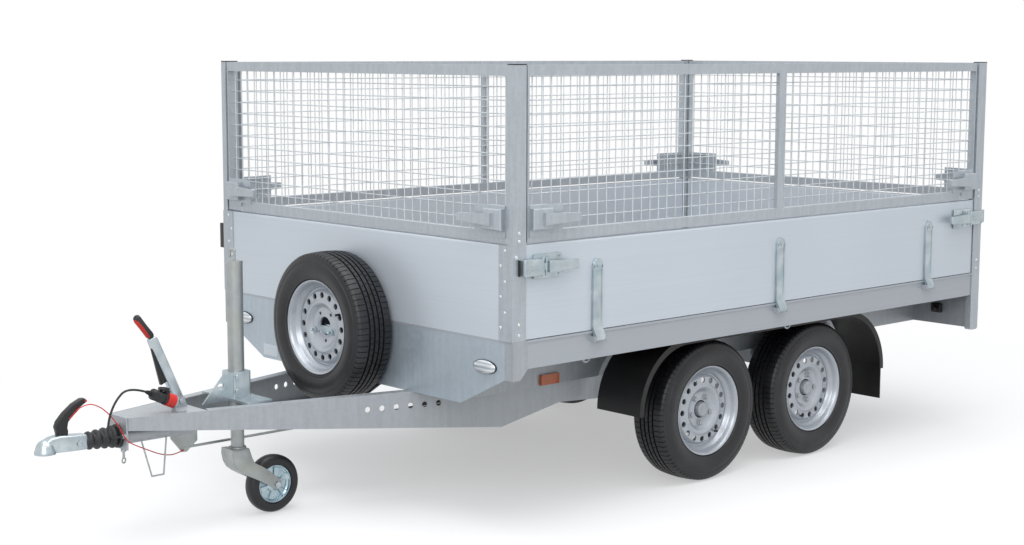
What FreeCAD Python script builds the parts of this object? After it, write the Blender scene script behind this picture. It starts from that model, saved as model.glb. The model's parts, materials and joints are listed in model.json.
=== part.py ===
import FreeCAD, Part
import math
import os

os.makedirs("parts", exist_ok=True)

V = FreeCAD.Vector
ZERO = V(0, 0, 0)
X_AXIS = V(1, 0, 0)
Y_AXIS = V(0, 1, 0)
Z_AXIS = V(0, 0, 1)
HALF_TURN = 180.0
QUARTER_TURN = 90.0

# Driving dimensions, in millimetres
# The row frame: +X towards the tail, +Y to the right of the direction of travel, +Z up from the ground
body_length = 2950.0
body_width = 1826.0
overall_height = 1691.0
drawbar_reach = 1362.0
tyre_radius = 290.0
tyre_width = 178.0
wheel_track = 1440.0
front_axle_place = 1187.0
axle_spacing = 685.0
rail_bottom = 615.0
rail_height = 103.0
board_height = 337.5
board_thickness = 25.0
board_foot_gap = 3.0
mesh_gap = 7.5
coupling_height = 390.0

# Gaps: flat seats, running fits and the overrun of a cut
seat_gap = 0.3
pin_gap = 0.08
overrun = 2.0

# Platform rails, an outer section with a small lip along its top
rail_depth = 45.0
rail_wall = 4.0
rail_inset = 4.0
rail_lip_height = 8.0

# Corner posts, with black caps and hinge pins for the mesh panels
post_length = 62.0
post_width = 30.0
post_flange_width = 42.0
post_flange_thickness = 3.0
rear_post_drop = 164.0
post_foot_radius = 14.0
cap_height = 4.0
cap_overhang = 1.0

# Front corner castings under the front posts
casting_length = 70.0
casting_width = 42.0
casting_drop = 37.0

# Floor and cross members
floor_thickness = 15.0
cross_flange = 40.0
cross_wall = 3.0
cross_count = 6
cross_inset = 250.0

# Chassis members, one inside each row of wheels
member_face = 596.0
member_flange = 50.0
member_wall = 4.0
member_height = 154.0
member_front_gap = 3.0

# Drawbar beams, a tapered channel each side of the drawbar
beam_half_front = 60.0
beam_tilt_share = 0.2755
beam_front_place = 1038.0
beam_rear_place = 930.0
beam_width = 40.0
beam_wall = 4.0
beam_plain_length = 290.0
beam_nose_depth = 46.0
beam_belly_place = 369.0
beam_belly_depth = 175.0
beam_tail_place = 614.0
beam_tail_depth = 100.0
beam_hole_radius = 11.0
beam_hole_count = 6
beam_hole_pitch = 58.0
beam_hole_start = 170.0
beam_hole_drop = 55.0

# Headboard and the sheet below it
headboard_bead = 6.0
apron_thickness = 3.0
apron_flat_half = 629.0
apron_side_rise = 117.0

# Rear lamp board and lamps
valance_inset = 50.0
valance_thickness = 3.0
lamp_length = 220.0
lamp_height = 120.0
lamp_depth = 44.0
lamp_edge_gap = 16.0
front_lamp_half_length = 45.0
front_lamp_half_height = 21.0
front_lamp_depth = 14.0
front_lamp_place = 766.0
front_lamp_drop = 104.0
reflector_length = 94.0
reflector_height = 40.0
reflector_depth = 12.0
reflector_front_place = 430.0
reflector_rear_place = 2430.0
reflector_lift = 3.0

# Wheels, with five-hole pressed rims
rim_radius = 183.5
rim_width = 152.0
rim_lip_depth = 12.0
rim_lip_wall = 9.0
rim_well_radius = 158.0
disc_outer_radius = 140.0
disc_inset = 34.0
disc_dish = 16.0
disc_wall = 8.0
disc_pad_radius = 74.0
hub_bore_radius = 29.0
hub_cap_radius = 31.0
hub_cap_reach = 22.0
drum_radius = 105.0
drum_depth = 58.0
spindle_radius = 16.0
tyre_shoulder_drop = 14.0
tyre_shoulder_inset = 24.0
vent_count = 16
vent_radius = 11.0
vent_circle = 112.0
vent_sides = 8

# Axles, rubber-sprung square tubes with trailing arms
axle_tube_size = 62.0
axle_tube_half = 596.0
arm_length = 150.0
arm_thickness = 20.0
arm_tube_end_radius = 42.0
arm_hub_end_radius = 34.0
arm_face = 598.0
backing_radius = 104.0
backing_thickness = 5.0
backing_gap = 2.0
drum_gap = 3.0

# Mudguards, one long black moulding over each pair of wheels
guard_inner_face = 613.0
guard_outer_face = 845.0
guard_front_place = 728.0
guard_rear_place = 2308.0
guard_foot_height = 334.0
guard_bend_radius = 276.0
guard_wall = 5.0
guard_lip = 24.0
flap_drop = 138.0
flap_thickness = 6.0
flap_inset = 12.0

# Drop sides and tailboard, hung on straps at their foot
board_end_gap = 5.0
board_inset = 5.0
board_bead = 7.0
hinge_reach = 13.0
hinge_drop = 28.0
hinge_pin_radius = 5.0
knuckle_radius = 9.0
strap_width = 48.0
strap_depth = 11.0
strap_top_drop = 73.0
strap_foot_lift = 4.0
ear_thickness = 8.0
ear_gap = 1.5
side_strap_places = (419.0, 1477.0, 2526.0)
tail_strap_share = 0.31

# Toggle locks of the boards and the mesh panels
lock_length = 226.0
lock_reach = 42.0
lock_case_share = 0.42
lock_case_height = 76.0
lock_plate_height = 98.0
lock_plate_thickness = 5.0
lock_handle_root = 44.0
lock_handle_tip = 26.0
lock_handle_thickness = 20.0
lock_drop = 72.0
lock_overlap = 34.0
buffer_length = 10.0
buffer_height = 105.0
buffer_reach = 40.0

# Mesh panels: frames of flat tube with welded wire
frame_height = 38.0
frame_depth = 30.0
frame_end_width = 8.0
frame_end_gap = 10.0
frame_side_gap = 5.0
frame_upright_depth = 18.0
frame_inset = 5.0
pivot_drop = 43.0
pivot_radius = 6.0
wire_size = 4.0
wire_pitch = 44.0
mesh_lock_lift = 82.0

# Spare wheel on the headboard
spare_side = 28.0
spare_height = 678.0
spare_back_gap = 5.0
spare_post_size = 44.0
spare_bar_length = 110.0
spare_bar_height = 30.0
spare_bar_thickness = 6.0
spare_stud_radius = 6.0
spare_nut_radius = 10.0
spare_nut_height = 11.0
spare_plate_size = 150.0
spare_plate_thickness = 5.0

# Overrun housing at the point of the drawbar
housing_length = 278.0
housing_tube_radius = 34.0
housing_plate_thickness = 7.0
housing_rib_thickness = 12.0
housing_flange_thickness = 8.0
housing_flange_half = 58.0
housing_flange_drop = 44.0
shaft_radius = 22.0

# Bellows and coupling head
bellows_length = 130.0
bellows_rear_radius = 42.0
bellows_front_radius = 31.0
head_dome_radius = 38.0
head_ball_radius = 25.4
head_ball_inset = 38.0
head_socket_depth = 14.0
head_skirt_drop = 18.0
head_neck_radius = 29.0
head_neck_length = 96.0
head_lift = 14.0
lever_pivot_share = 0.5
lever_length = 150.0
lever_tilt = 45.0
lever_width = 26.0
lever_thickness = 16.0

# Handbrake lever
brake_place = 798.0
brake_pivot_height = 484.0
brake_side = 0.0
brake_lever_length = 262.0
brake_lever_width = 26.0
brake_lever_root = 30.0
brake_lever_tip = 22.0
brake_wall = 3.0
brake_tilt = 23.7
brake_grip_length = 104.0
brake_grip_radius = 15.0
brake_grip_bend = 14.0
brake_ear_thickness = 6.0
brake_ear_gap = 1.5
brake_pin_radius = 6.0
brake_ear_half = 26.0

# Brake rod, its reversing lever and the wire bow under the housing
rod_radius = 5.0
rod_height = 291.0
rod_side = 56.0
rod_front_place = 690.0
relay_thickness = 8.0
relay_length = 110.0
relay_foot = 275.0
relay_toe = 20.0
hanger_length = 26.0
bow_wire_radius = 3.0
bow_front_place = 973.0
bow_rear_place = 861.0
bow_foot_height = 227.0
bow_front_foot_place = 926.0
bow_rear_foot_place = 878.0
bow_side = -20.0

# Jockey wheel
jockey_place = 550.0
jockey_tube_radius = 30.0
jockey_tube_wall = 3.0
jockey_tube_top = 970.0
jockey_tube_foot = 424.0
jockey_leg_radius = 25.0
jockey_leg_top = 760.0
jockey_leg_foot = 254.0
jockey_wheel_radius = 110.0
jockey_wheel_width = 58.0
jockey_rim_radius = 73.0
jockey_rim_width = 44.0
jockey_trail = 150.0
jockey_axle_radius = 8.0
fork_head_radius = 32.0
fork_head_height = 22.0
fork_plate = 5.0
fork_side_gap = 6.0
crank_height = 40.0
crank_radius = 5.0
crank_arm = 30.0
clamp_half = 40.0
clamp_height = 92.0
clamp_foot = 470.0
bridge_thickness = 8.0
bridge_length = 110.0
bridge_half = 150.0
gusset_thickness = 6.0
gusset_slot_radius = 14.0
gusset_slot_length = 34.0

# Parking socket, plug and the two free cables
socket_place = 892.0
socket_side = -70.0
socket_height = 512.0
socket_radius = 24.0
socket_length = 34.0
plug_radius = 20.0
plug_length = 60.0
plug_tail_radius = 8.0
plug_tail_length = 26.0
plug_tilt = 24.0
lead_radius = 4.0
lead_gland_radius = 8.0
lead_gland_length = 12.0
trip_radius = 2.0
arc_share = 0.45

# Routes of the two free cables, as (behind the body's front, side, height)
lead_route = [
    (-1040.0, -68.0, 573.0),
    (-1090.0, -66.0, 530.0),
    (-1118.0, -64.0, 464.0),
    (-1114.0, -50.0, 396.0),
]
trip_route = [
    (-1212.0, -15.3, 506.0),
    (-1180.0, -30.0, 530.0),
    (-1136.0, -42.0, 514.0),
    (-1098.0, -49.0, 476.0),
    (-1070.0, -60.0, 430.0),
    (-1048.0, -66.0, 380.0),
    (-1000.0, -56.0, 354.0),
    (-950.0, -40.0, 330.0),
    (-900.0, -20.0, 306.0),
    (-850.0, 4.0, 288.0),
    (-800.0, 30.0, 278.0),
    (-750.0, 49.7, 283.0),
]

# Lashing rings under the side rails
ring_wire_radius = 4.0
ring_inner_radius = 15.0
ring_places = (391.0, 1566.0)
ring_lift = 4.0

# Places worked out from the sizes above
side_face = body_width / 2
rail_top = rail_bottom + rail_height
rail_face = side_face - rail_inset
floor_top = rail_top - rail_wall - seat_gap
floor_bottom = floor_top - floor_thickness
member_bottom = rail_bottom - member_height
lock_front = lock_reach + board_inset
rear_reach = lock_reach
overall_length = drawbar_reach + body_length + rear_reach
front_x = drawbar_reach - overall_length / 2
rear_x = front_x + body_length
board_bottom = rail_top + board_foot_gap
board_top = board_bottom + board_height
mesh_bottom = board_top + mesh_gap
mesh_top = overall_height - cap_height
pivot_height = mesh_top - pivot_drop
hinge_height = rail_top - hinge_drop
wheel_centre = wheel_track / 2
wheel_places = (front_axle_place, front_axle_place + axle_spacing)


# Shape helpers
def box(x0, x1, y0, y1, z0, z1):
    return Part.makeBox(x1 - x0, y1 - y0, z1 - z0, V(x0, y0, z0))


def rod(start, end, radius):
    line = end.sub(start)
    return Part.makeCylinder(radius, line.Length, start, line)


def face_of(points):
    return Part.Face(Part.makePolygon(points + points[:1]))


def prism_along_y(outline, y0, y1):
    face = face_of([V(x, y0, z) for x, z in outline])
    return face.extrude(V(0, y1 - y0, 0))


def prism_along_x(outline, x0, x1):
    face = face_of([V(x0, y, z) for y, z in outline])
    return face.extrude(V(x1 - x0, 0, 0))


def prism_along_z(outline, z0, z1):
    face = face_of([V(x, y, z0) for x, y in outline])
    return face.extrude(V(0, 0, z1 - z0))


def turned(outline, centre, axis):
    """A solid turned from an outline of (along the axis, radius) points."""
    side = Z_AXIS
    points = [centre + axis * along + side * radius for along, radius in outline]
    return face_of(points).revolve(centre, axis, HALF_TURN * 2)


def mirrored(shape):
    return shape.mirror(ZERO, Y_AXIS)


def both_sides(shape):
    return [shape, mirrored(shape)]


def joined(shapes):
    return shapes[0].multiFuse(shapes[1:]).removeSplitter()


def keep(node, solids):
    shape = solids[0] if len(solids) == 1 else Part.makeCompound(solids)
    shape.exportStep(f"parts/{node}.step")


# Panels are drawn once, standing across the tail with their outer face at x = 0,
# their middle at y = 0 and the ground at z = 0, and are then set on their side of the body
def set_panel(shape, side):
    placed = shape.copy()
    if side == "front":
        placed.rotate(ZERO, Z_AXIS, HALF_TURN)
        placed.translate(V(front_x, 0, 0))
    elif side == "rear":
        placed.translate(V(rear_x, 0, 0))
    elif side == "right":
        placed.rotate(ZERO, Z_AXIS, QUARTER_TURN)
        placed.translate(V(front_x + body_length / 2, side_face, 0))
    else:
        placed.rotate(ZERO, Z_AXIS, -QUARTER_TURN)
        placed.translate(V(front_x + body_length / 2, -side_face, 0))
    return placed


# Platform
def side_rail():
    outer = rail_face
    inner = outer - rail_depth
    web = outer - rail_wall
    outline = [
        (inner, rail_bottom),
        (outer, rail_bottom),
        (outer, rail_top - rail_lip_height),
        (side_face, rail_top - rail_lip_height),
        (side_face, rail_top),
        (inner, rail_top),
        (inner, rail_top - rail_wall),
        (web, rail_top - rail_wall),
        (web, rail_bottom + rail_wall),
        (inner, rail_bottom + rail_wall),
    ]
    start = front_x + casting_length + seat_gap
    rail = prism_along_x(outline, start, rear_x - post_length - seat_gap)
    rail = joined([rail] + [set_hinge(place, 1) for place in side_strap_places])
    return cut_rings(rail)


def set_hinge(place, sign):
    """Ears and pin of one side-board hinge, on the right side of the body."""
    shape = hinge_pin_and_ears()
    shape.rotate(ZERO, Z_AXIS, QUARTER_TURN)
    shape.translate(V(front_x + place, sign * side_face, 0))
    return shape


def hinge_pin_and_ears():
    """Two ears that stand off the rail, with the pin between them."""
    half = strap_width / 2 + ear_gap + ear_thickness
    pin = rod(V(hinge_reach, -half, hinge_height), V(hinge_reach, half, hinge_height), hinge_pin_radius)
    ears = []
    for side in (-1, 1):
        inner = side * (strap_width / 2 + ear_gap)
        outer = side * half
        low, high = min(inner, outer), max(inner, outer)
        outline = [
            (-rail_inset, hinge_height - knuckle_radius),
            (hinge_reach + knuckle_radius, hinge_height - knuckle_radius),
            (hinge_reach + knuckle_radius, hinge_height + knuckle_radius),
            (-rail_inset, hinge_height + knuckle_radius),
        ]
        ears.append(prism_along_y(outline, low, high))
    return joined([pin] + ears)


def cut_rings(rail):
    rings = []
    for place in ring_places:
        centre = V(front_x + place, rail_face - rail_depth / 2, rail_bottom + ring_lift)
        ring = Part.makeTorus(ring_inner_radius + ring_wire_radius, ring_wire_radius, centre, Y_AXIS)
        below = box(
            centre.x - ring_inner_radius * 2,
            centre.x + ring_inner_radius * 2,
            centre.y - ring_inner_radius,
            centre.y + ring_inner_radius,
            rail_bottom - ring_inner_radius * 2,
            rail_bottom,
        )
        rings.append(ring.common(below))
    return joined([rail] + rings)


def end_rail(half_width, with_hinges):
    """An end rail with its outer face just inside x = 0, drawn for the tail."""
    outer = -rail_inset
    inner = outer - rail_depth
    web = outer - rail_wall
    outline = [
        (inner, rail_bottom),
        (outer, rail_bottom),
        (outer, rail_top - rail_lip_height),
        (0, rail_top - rail_lip_height),
        (0, rail_top),
        (inner, rail_top),
        (inner, rail_top - rail_wall),
        (web, rail_top - rail_wall),
        (web, rail_bottom + rail_wall),
        (inner, rail_bottom + rail_wall),
    ]
    rail = prism_along_y(outline, -half_width, half_width)
    if not with_hinges:
        return rail
    hinges = []
    for share in (-tail_strap_share, tail_strap_share):
        hinge = hinge_pin_and_ears()
        hinge.translate(V(0, share * body_width, 0))
        hinges.append(hinge)
    return joined([rail] + hinges)


def platform_rails():
    front = set_panel(end_rail(side_face - casting_width - seat_gap, False), "front")
    rear = set_panel(end_rail(side_face - post_width - seat_gap, True), "rear")
    keep("platform_rails", both_sides(side_rail()) + [front, rear])


def floor():
    half = rail_face - rail_wall - seat_gap
    start = front_x + rail_inset + rail_wall + seat_gap
    end = rear_x - rail_inset - rail_wall - seat_gap
    board = box(start, end, -half, half, floor_bottom, floor_top)
    corner = casting_length
    for x0, x1 in ((start - overrun, front_x + corner + seat_gap),
                   (rear_x - post_length - seat_gap, end + overrun)):
        for side in (-1, 1):
            y0, y1 = sorted((side * (side_face - casting_width - seat_gap), side * side_face))
            board = board.cut(box(x0, x1, y0, y1, floor_bottom - overrun, floor_top + overrun))
    keep("floor", [board])


def cross_members():
    half = rail_face - rail_depth - seat_gap
    top = floor_bottom
    span = body_length - 2 * cross_inset
    beams = []
    for index in range(cross_count):
        x0 = front_x + cross_inset + span * index / (cross_count - 1) - cross_flange / 2
        x1 = x0 + cross_flange
        beam = box(x0, x1, -half, half, rail_bottom, top)
        hollow = box(x0 + cross_wall, x1 + overrun, -half - overrun, half + overrun,
                     rail_bottom + cross_wall, top - cross_wall)
        beams.append(beam.cut(hollow))
    keep("cross_members", beams)


def chassis_members():
    inner = member_face - member_flange
    web = member_face - member_wall
    outline = [
        (inner, member_bottom),
        (member_face, member_bottom),
        (member_face, rail_bottom),
        (inner, rail_bottom),
        (inner, rail_bottom - member_wall),
        (web, rail_bottom - member_wall),
        (web, member_bottom + member_wall),
        (inner, member_bottom + member_wall),
    ]
    start = front_x + rail_inset
    end = rear_x - valance_inset - seat_gap
    keep("chassis_members", both_sides(prism_along_x(outline, start, end)))


# Corner posts
def post_top_pins():
    """Hinge pins of the mesh panels, on the rear right post at x = 0, y = 0 outer corner."""
    along_x = rod(
        V(-post_length, -frame_inset - frame_depth / 2, pivot_height),
        V(-post_length - frame_end_gap - frame_end_width, -frame_inset - frame_depth / 2, pivot_height),
        pivot_radius,
    )
    along_y = rod(
        V(-frame_inset - frame_depth / 2, -post_width, pivot_height),
        V(-frame_inset - frame_depth / 2, -post_width - frame_side_gap - frame_end_width, pivot_height),
        pivot_radius,
    )
    return [along_x, along_y]


def rear_post():
    foot = rail_bottom - rear_post_drop
    body = box(-post_length, 0, -post_width, 0, foot, mesh_top)
    edges = [edge for edge in body.Edges if abs(edge.CenterOfMass.z - foot) < seat_gap
             and abs(edge.CenterOfMass.y + post_width / 2) < seat_gap]
    body = body.makeFillet(post_foot_radius, edges)
    return joined([body] + post_top_pins())


def front_post():
    body = box(-post_length, 0, -post_width, 0, rail_top + seat_gap, mesh_top)
    flange = box(0, post_flange_thickness, -post_width - post_flange_width, 0,
                 rail_top + seat_gap, board_top)
    return joined([body, flange] + post_top_pins())


def corner_posts():
    rear = rear_post()
    rear.translate(V(rear_x, side_face, 0))
    front = front_post().mirror(ZERO, X_AXIS)
    front.translate(V(front_x, side_face, 0))
    keep("corner_posts", both_sides(rear) + both_sides(front))


def post_caps():
    """Black caps on the posts, and black blocks that the front board locks close against."""
    cap = box(-post_length - cap_overhang, cap_overhang, -post_width - cap_overhang, cap_overhang,
              mesh_top, overall_height)
    rear = cap.copy()
    rear.translate(V(rear_x, side_face, 0))
    front = cap.mirror(ZERO, X_AXIS)
    front.translate(V(front_x, side_face, 0))
    x0 = front_x + post_length / 2 - buffer_length
    y0 = side_face + seat_gap
    z1 = board_top - lock_drop + buffer_height / 2
    buffer = box(x0, x0 + buffer_length, y0, y0 + buffer_reach - board_inset, z1 - buffer_height, z1)
    keep("post_caps", both_sides(rear) + both_sides(front) + both_sides(buffer))


def corner_castings():
    """A casting closes each front corner of the platform and carries the front post."""
    body = box(front_x, front_x + casting_length, side_face - casting_width, side_face,
               rail_bottom - casting_drop, rail_top)
    pocket = box(front_x + rail_wall, front_x + casting_length + overrun,
                 side_face - casting_width - overrun, side_face - rail_wall,
                 rail_bottom, rail_top - rail_wall)
    corner = prism_along_y(
        [
            (front_x + casting_length / 2, rail_bottom - casting_drop - overrun),
            (front_x + casting_length + overrun, rail_bottom - casting_drop - overrun),
            (front_x + casting_length + overrun, rail_bottom),
        ],
        side_face - casting_width - overrun,
        side_face + overrun,
    )
    keep("corner_castings", both_sides(body.cut(pocket).cut(corner)))


def headboard():
    half = side_face - post_width - seat_gap
    outline = [
        (front_x, rail_top + seat_gap),
        (front_x + board_thickness, rail_top + seat_gap),
        (front_x + board_thickness, board_top - headboard_bead),
        (front_x + board_thickness - headboard_bead / 2, board_top),
        (front_x + headboard_bead / 2, board_top),
        (front_x, board_top - headboard_bead),
    ]
    keep("headboard", [prism_along_y(outline, -half, half)])


def apron():
    half = side_face - casting_width - seat_gap
    outline = [
        (-apron_flat_half, member_bottom),
        (apron_flat_half, member_bottom),
        (half, member_bottom + apron_side_rise),
        (half, rail_top - rail_lip_height - seat_gap),
        (-half, rail_top - rail_lip_height - seat_gap),
        (-half, member_bottom + apron_side_rise),
    ]
    front = front_x
    keep("apron", [prism_along_x(outline, front, front + rail_inset - seat_gap)])


# Rear lamp board
def rear_valance():
    half = side_face - post_width - seat_gap
    x0 = rear_x - valance_inset
    plate = box(x0, x0 + valance_thickness, -half, half, member_bottom, rail_bottom - seat_gap)
    fold = box(x0, x0 + valance_inset / 2, half - valance_thickness, half, member_bottom,
               rail_bottom - seat_gap)
    keep("rear_valance", [joined([plate] + both_sides(fold))])


def tail_lamps():
    x0 = rear_x - valance_inset + valance_thickness + seat_gap
    y1 = side_face - post_width - valance_thickness - lamp_edge_gap
    z1 = rail_bottom - lamp_edge_gap
    lamp = box(x0, x0 + lamp_depth, y1 - lamp_length, y1, z1 - lamp_height, z1)
    keep("tail_lamps", both_sides(lamp))


def front_lamps():
    centre = V(front_x - seat_gap, front_lamp_place, rail_top - front_lamp_drop)
    ring = Part.Ellipse(centre, front_lamp_half_length, front_lamp_half_height)
    wire = Part.Wire(ring.toShape())
    wire.translate(centre.negative())
    wire.rotate(ZERO, Y_AXIS, QUARTER_TURN)
    wire.rotate(ZERO, X_AXIS, QUARTER_TURN)
    wire.translate(centre)
    lamp = Part.Face(wire).extrude(V(-front_lamp_depth, 0, 0))
    keep("front_lamps", both_sides(lamp))


def side_reflectors():
    z0 = member_bottom + reflector_lift
    lenses = []
    for place in (reflector_front_place, reflector_rear_place):
        x0 = front_x + place
        lens = box(x0, x0 + reflector_length, member_face + seat_gap,
                   member_face + seat_gap + reflector_depth, z0, z0 + reflector_height)
        lenses += both_sides(lens)
    keep("side_reflectors", lenses)


# Drawbar
def beam_point(place):
    """A point of the right beam's outer face, at a distance behind the body's front."""
    half = beam_half_front + beam_tilt_share * (beam_front_place + place)
    return V(front_x + place, half, 0)


def beam_depth_at(place):
    run = (place + beam_front_place) / (beam_belly_place + beam_front_place)
    return beam_nose_depth + (beam_belly_depth - beam_nose_depth) * run


def drawbar_beam():
    """The right beam: drawn along its own length with its outer face at y = 0, then turned."""
    stretch = math.hypot(1, beam_tilt_share)
    length = (beam_front_place + beam_rear_place) * stretch
    belly = (beam_front_place + beam_belly_place) * stretch
    tail = (beam_front_place + beam_tail_place) * stretch
    top = member_bottom
    outline = [
        (0, top),
        (length, top),
        (length, top - beam_tail_depth),
        (tail, top - beam_tail_depth),
        (belly, top - beam_belly_depth),
        (0, top - beam_nose_depth),
    ]
    pocket = [
        (-overrun, top - beam_wall),
        (length + overrun, top - beam_wall),
        (length + overrun, top - beam_tail_depth + beam_wall),
        (tail, top - beam_tail_depth + beam_wall),
        (belly, top - beam_belly_depth + beam_wall),
        (-overrun, top - beam_nose_depth + beam_wall),
    ]
    beam = prism_along_y(outline, -beam_width, 0)
    beam = beam.cut(prism_along_y(pocket, -beam_width - overrun, -beam_wall))
    plain = box(-overrun, beam_plain_length, -beam_width - overrun, -beam_wall,
                top - beam_belly_depth - overrun, top + overrun)
    beam = beam.cut(plain)
    start = (beam_front_place - beam_hole_start) * stretch
    for index in range(beam_hole_count):
        hole = Part.makeCylinder(
            beam_hole_radius, beam_wall + 2 * overrun,
            V(start + beam_hole_pitch * index, -beam_wall - overrun, top - beam_hole_drop), Y_AXIS)
        beam = beam.cut(hole)
    beam.rotate(ZERO, Z_AXIS, math.degrees(math.atan(beam_tilt_share)))
    beam.translate(beam_point(-beam_front_place))
    return beam


def drawbar_beams():
    keep("drawbar_beams", both_sides(drawbar_beam()))


def overrun_housing():
    """A plate and a tube between the two beams, with a flange at the front."""
    x0 = front_x - beam_front_place
    x1 = x0 + housing_length
    inner = beam_wall * math.hypot(1, beam_tilt_share) + seat_gap
    front_half = beam_half_front - inner
    rear_half = front_half + beam_tilt_share * housing_length
    top = member_bottom - seat_gap
    outline = [(x0, -front_half), (x1, -rear_half), (x1, rear_half), (x0, front_half)]
    plate = prism_along_z(outline, top - housing_plate_thickness, top)
    tube = rod(V(x0, 0, coupling_height), V(x1, 0, coupling_height), housing_tube_radius)
    rib = box(x0, x1, -housing_rib_thickness / 2, housing_rib_thickness / 2, coupling_height, top)
    flange = box(x0 - housing_flange_thickness, x0, -housing_flange_half, housing_flange_half,
                 coupling_height - housing_flange_drop, member_bottom)
    shaft = rod(V(x0 - bellows_length / 2, 0, coupling_height), V(x0, 0, coupling_height), shaft_radius)
    last = lead_route[-1]
    gland = rod(V(x0 - housing_flange_thickness - lead_gland_length, last[1], last[2]),
                V(x0 - housing_flange_thickness, last[1], last[2]), lead_gland_radius)
    housing = joined([plate, tube, rib, flange, shaft, gland] + brake_ears(top))
    keep("overrun_housing", [housing, socket_holder()])


def brake_ears(top):
    pivot_x = front_x - brake_place
    half = brake_lever_width / 2 + brake_ear_gap
    ears = []
    for side in (-1, 1):
        y0, y1 = sorted((brake_side + side * half, brake_side + side * (half + brake_ear_thickness)))
        outline = [
            (pivot_x - brake_ear_half, top - housing_plate_thickness),
            (pivot_x + brake_ear_half, top - housing_plate_thickness),
            (pivot_x + brake_ear_half / 2, brake_pivot_height + brake_ear_half / 2),
            (pivot_x - brake_ear_half / 2, brake_pivot_height + brake_ear_half / 2),
        ]
        ears.append(prism_along_y(outline, y0, y1))
    reach = half + brake_ear_thickness
    pin = rod(V(pivot_x, brake_side - reach, brake_pivot_height),
              V(pivot_x, brake_side + reach, brake_pivot_height), brake_pin_radius)
    return ears + [pin]


def bellows():
    end = front_x - beam_front_place - housing_flange_thickness - seat_gap
    start = end - bellows_length
    sleeve = Part.makeCone(bellows_front_radius, bellows_rear_radius, bellows_length,
                           V(start, 0, coupling_height), X_AXIS)
    bore = rod(V(start - overrun, 0, coupling_height), V(end + overrun, 0, coupling_height),
               shaft_radius + seat_gap)
    keep("bellows", [sleeve.cut(bore)])


def coupling_head():
    """A domed ball socket with a neck that clamps the overrun shaft."""
    nose = front_x - drawbar_reach
    ball = V(nose + head_dome_radius, 0, coupling_height)
    rear = front_x - beam_front_place - housing_flange_thickness - bellows_length - 2 * seat_gap
    dome = Part.makeSphere(head_dome_radius, ball)
    skirt = rod(V(ball.x, 0, coupling_height - head_skirt_drop), ball, head_dome_radius)
    upper = box(nose - overrun, ball.x + head_dome_radius + overrun, -head_dome_radius - overrun,
                head_dome_radius + overrun, coupling_height, coupling_height + head_dome_radius * 2)
    dome = dome.common(upper)
    neck_line = coupling_height + head_lift / 2
    neck = rod(V(rear - head_neck_length, 0, neck_line), V(rear, 0, neck_line), head_neck_radius)
    bridge = box(ball.x, rear - head_neck_length / 2, -head_neck_radius, head_neck_radius,
                 coupling_height - head_skirt_drop, coupling_height + head_neck_radius)
    body = joined([dome, skirt, bridge, neck])
    socket = Part.makeSphere(head_ball_radius, ball)
    mouth = rod(V(ball.x, 0, coupling_height - head_skirt_drop - overrun), ball, head_ball_radius)
    keep("coupling_head", [body.cut(socket).cut(mouth)])


def coupling_lever():
    nose = front_x - drawbar_reach
    start = V(nose + head_dome_radius * 2, 0, coupling_height + head_dome_radius + seat_gap)
    lever = box(0, lever_length, -lever_width / 2, lever_width / 2, 0, lever_thickness)
    edges = [edge for edge in lever.Edges if abs(edge.CenterOfMass.x - lever_length) < seat_gap]
    lever = lever.makeFillet(lever_thickness / 3, edges)
    lever.rotate(ZERO, Y_AXIS, -lever_tilt)
    lever.translate(start)
    foot = box(start.x - lever_thickness, start.x + lever_thickness, -lever_width / 2,
               lever_width / 2, start.z - head_dome_radius / 2, start.z + lever_thickness)
    keep("coupling_lever", [joined([lever, foot]).cut(Part.makeSphere(
        head_dome_radius + seat_gap, V(nose + head_dome_radius, 0, coupling_height))).cut(box(
            nose + head_dome_radius, start.x + lever_length, -head_neck_radius - seat_gap,
            head_neck_radius + seat_gap, 0, coupling_height + head_neck_radius + head_lift + seat_gap))])


# Handbrake
def handbrake_lever():
    bar = [
        (-brake_lever_root / 2, 0),
        (brake_lever_root / 2, 0),
        (brake_lever_tip / 2, brake_lever_length),
        (-brake_lever_tip / 2, brake_lever_length),
    ]
    hollow = [
        (-brake_lever_root / 2 + brake_wall, brake_lever_root),
        (brake_lever_root / 2 + overrun, brake_lever_root),
        (brake_lever_tip / 2 + overrun, brake_lever_length + overrun),
        (-brake_lever_tip / 2 + brake_wall, brake_lever_length + overrun),
    ]
    half = brake_lever_width / 2
    root = rod(V(0, -half, 0), V(0, half, 0), brake_lever_root / 2)
    lever = joined([prism_along_y(bar, -half, half), root])
    lever = lever.cut(prism_along_y(hollow, -half + brake_wall, half - brake_wall))
    bore = rod(V(0, -half - overrun, 0), V(0, half + overrun, 0), brake_pin_radius + pin_gap)
    return lever.cut(bore)


def handbrake_grip():
    start = V(0, 0, brake_lever_length + seat_gap)
    grip = Part.makeCylinder(brake_grip_radius, brake_grip_length, start, Z_AXIS)
    grip = grip.makeFillet(brake_grip_radius / 2, [grip.Edges[0]])
    grip.rotate(start, Y_AXIS, -brake_grip_bend)
    core = box(-brake_grip_radius * 2, brake_grip_radius * 2, -brake_grip_radius, brake_grip_radius,
               0, brake_lever_length + seat_gap)
    return grip.cut(core)


def handbrake():
    pivot = V(front_x - brake_place, brake_side, brake_pivot_height)
    for node, shape in (("handbrake_lever", handbrake_lever()), ("handbrake_grip", handbrake_grip())):
        shape.rotate(ZERO, Y_AXIS, -brake_tilt)
        shape.translate(pivot)
        keep(node, [shape])


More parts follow.
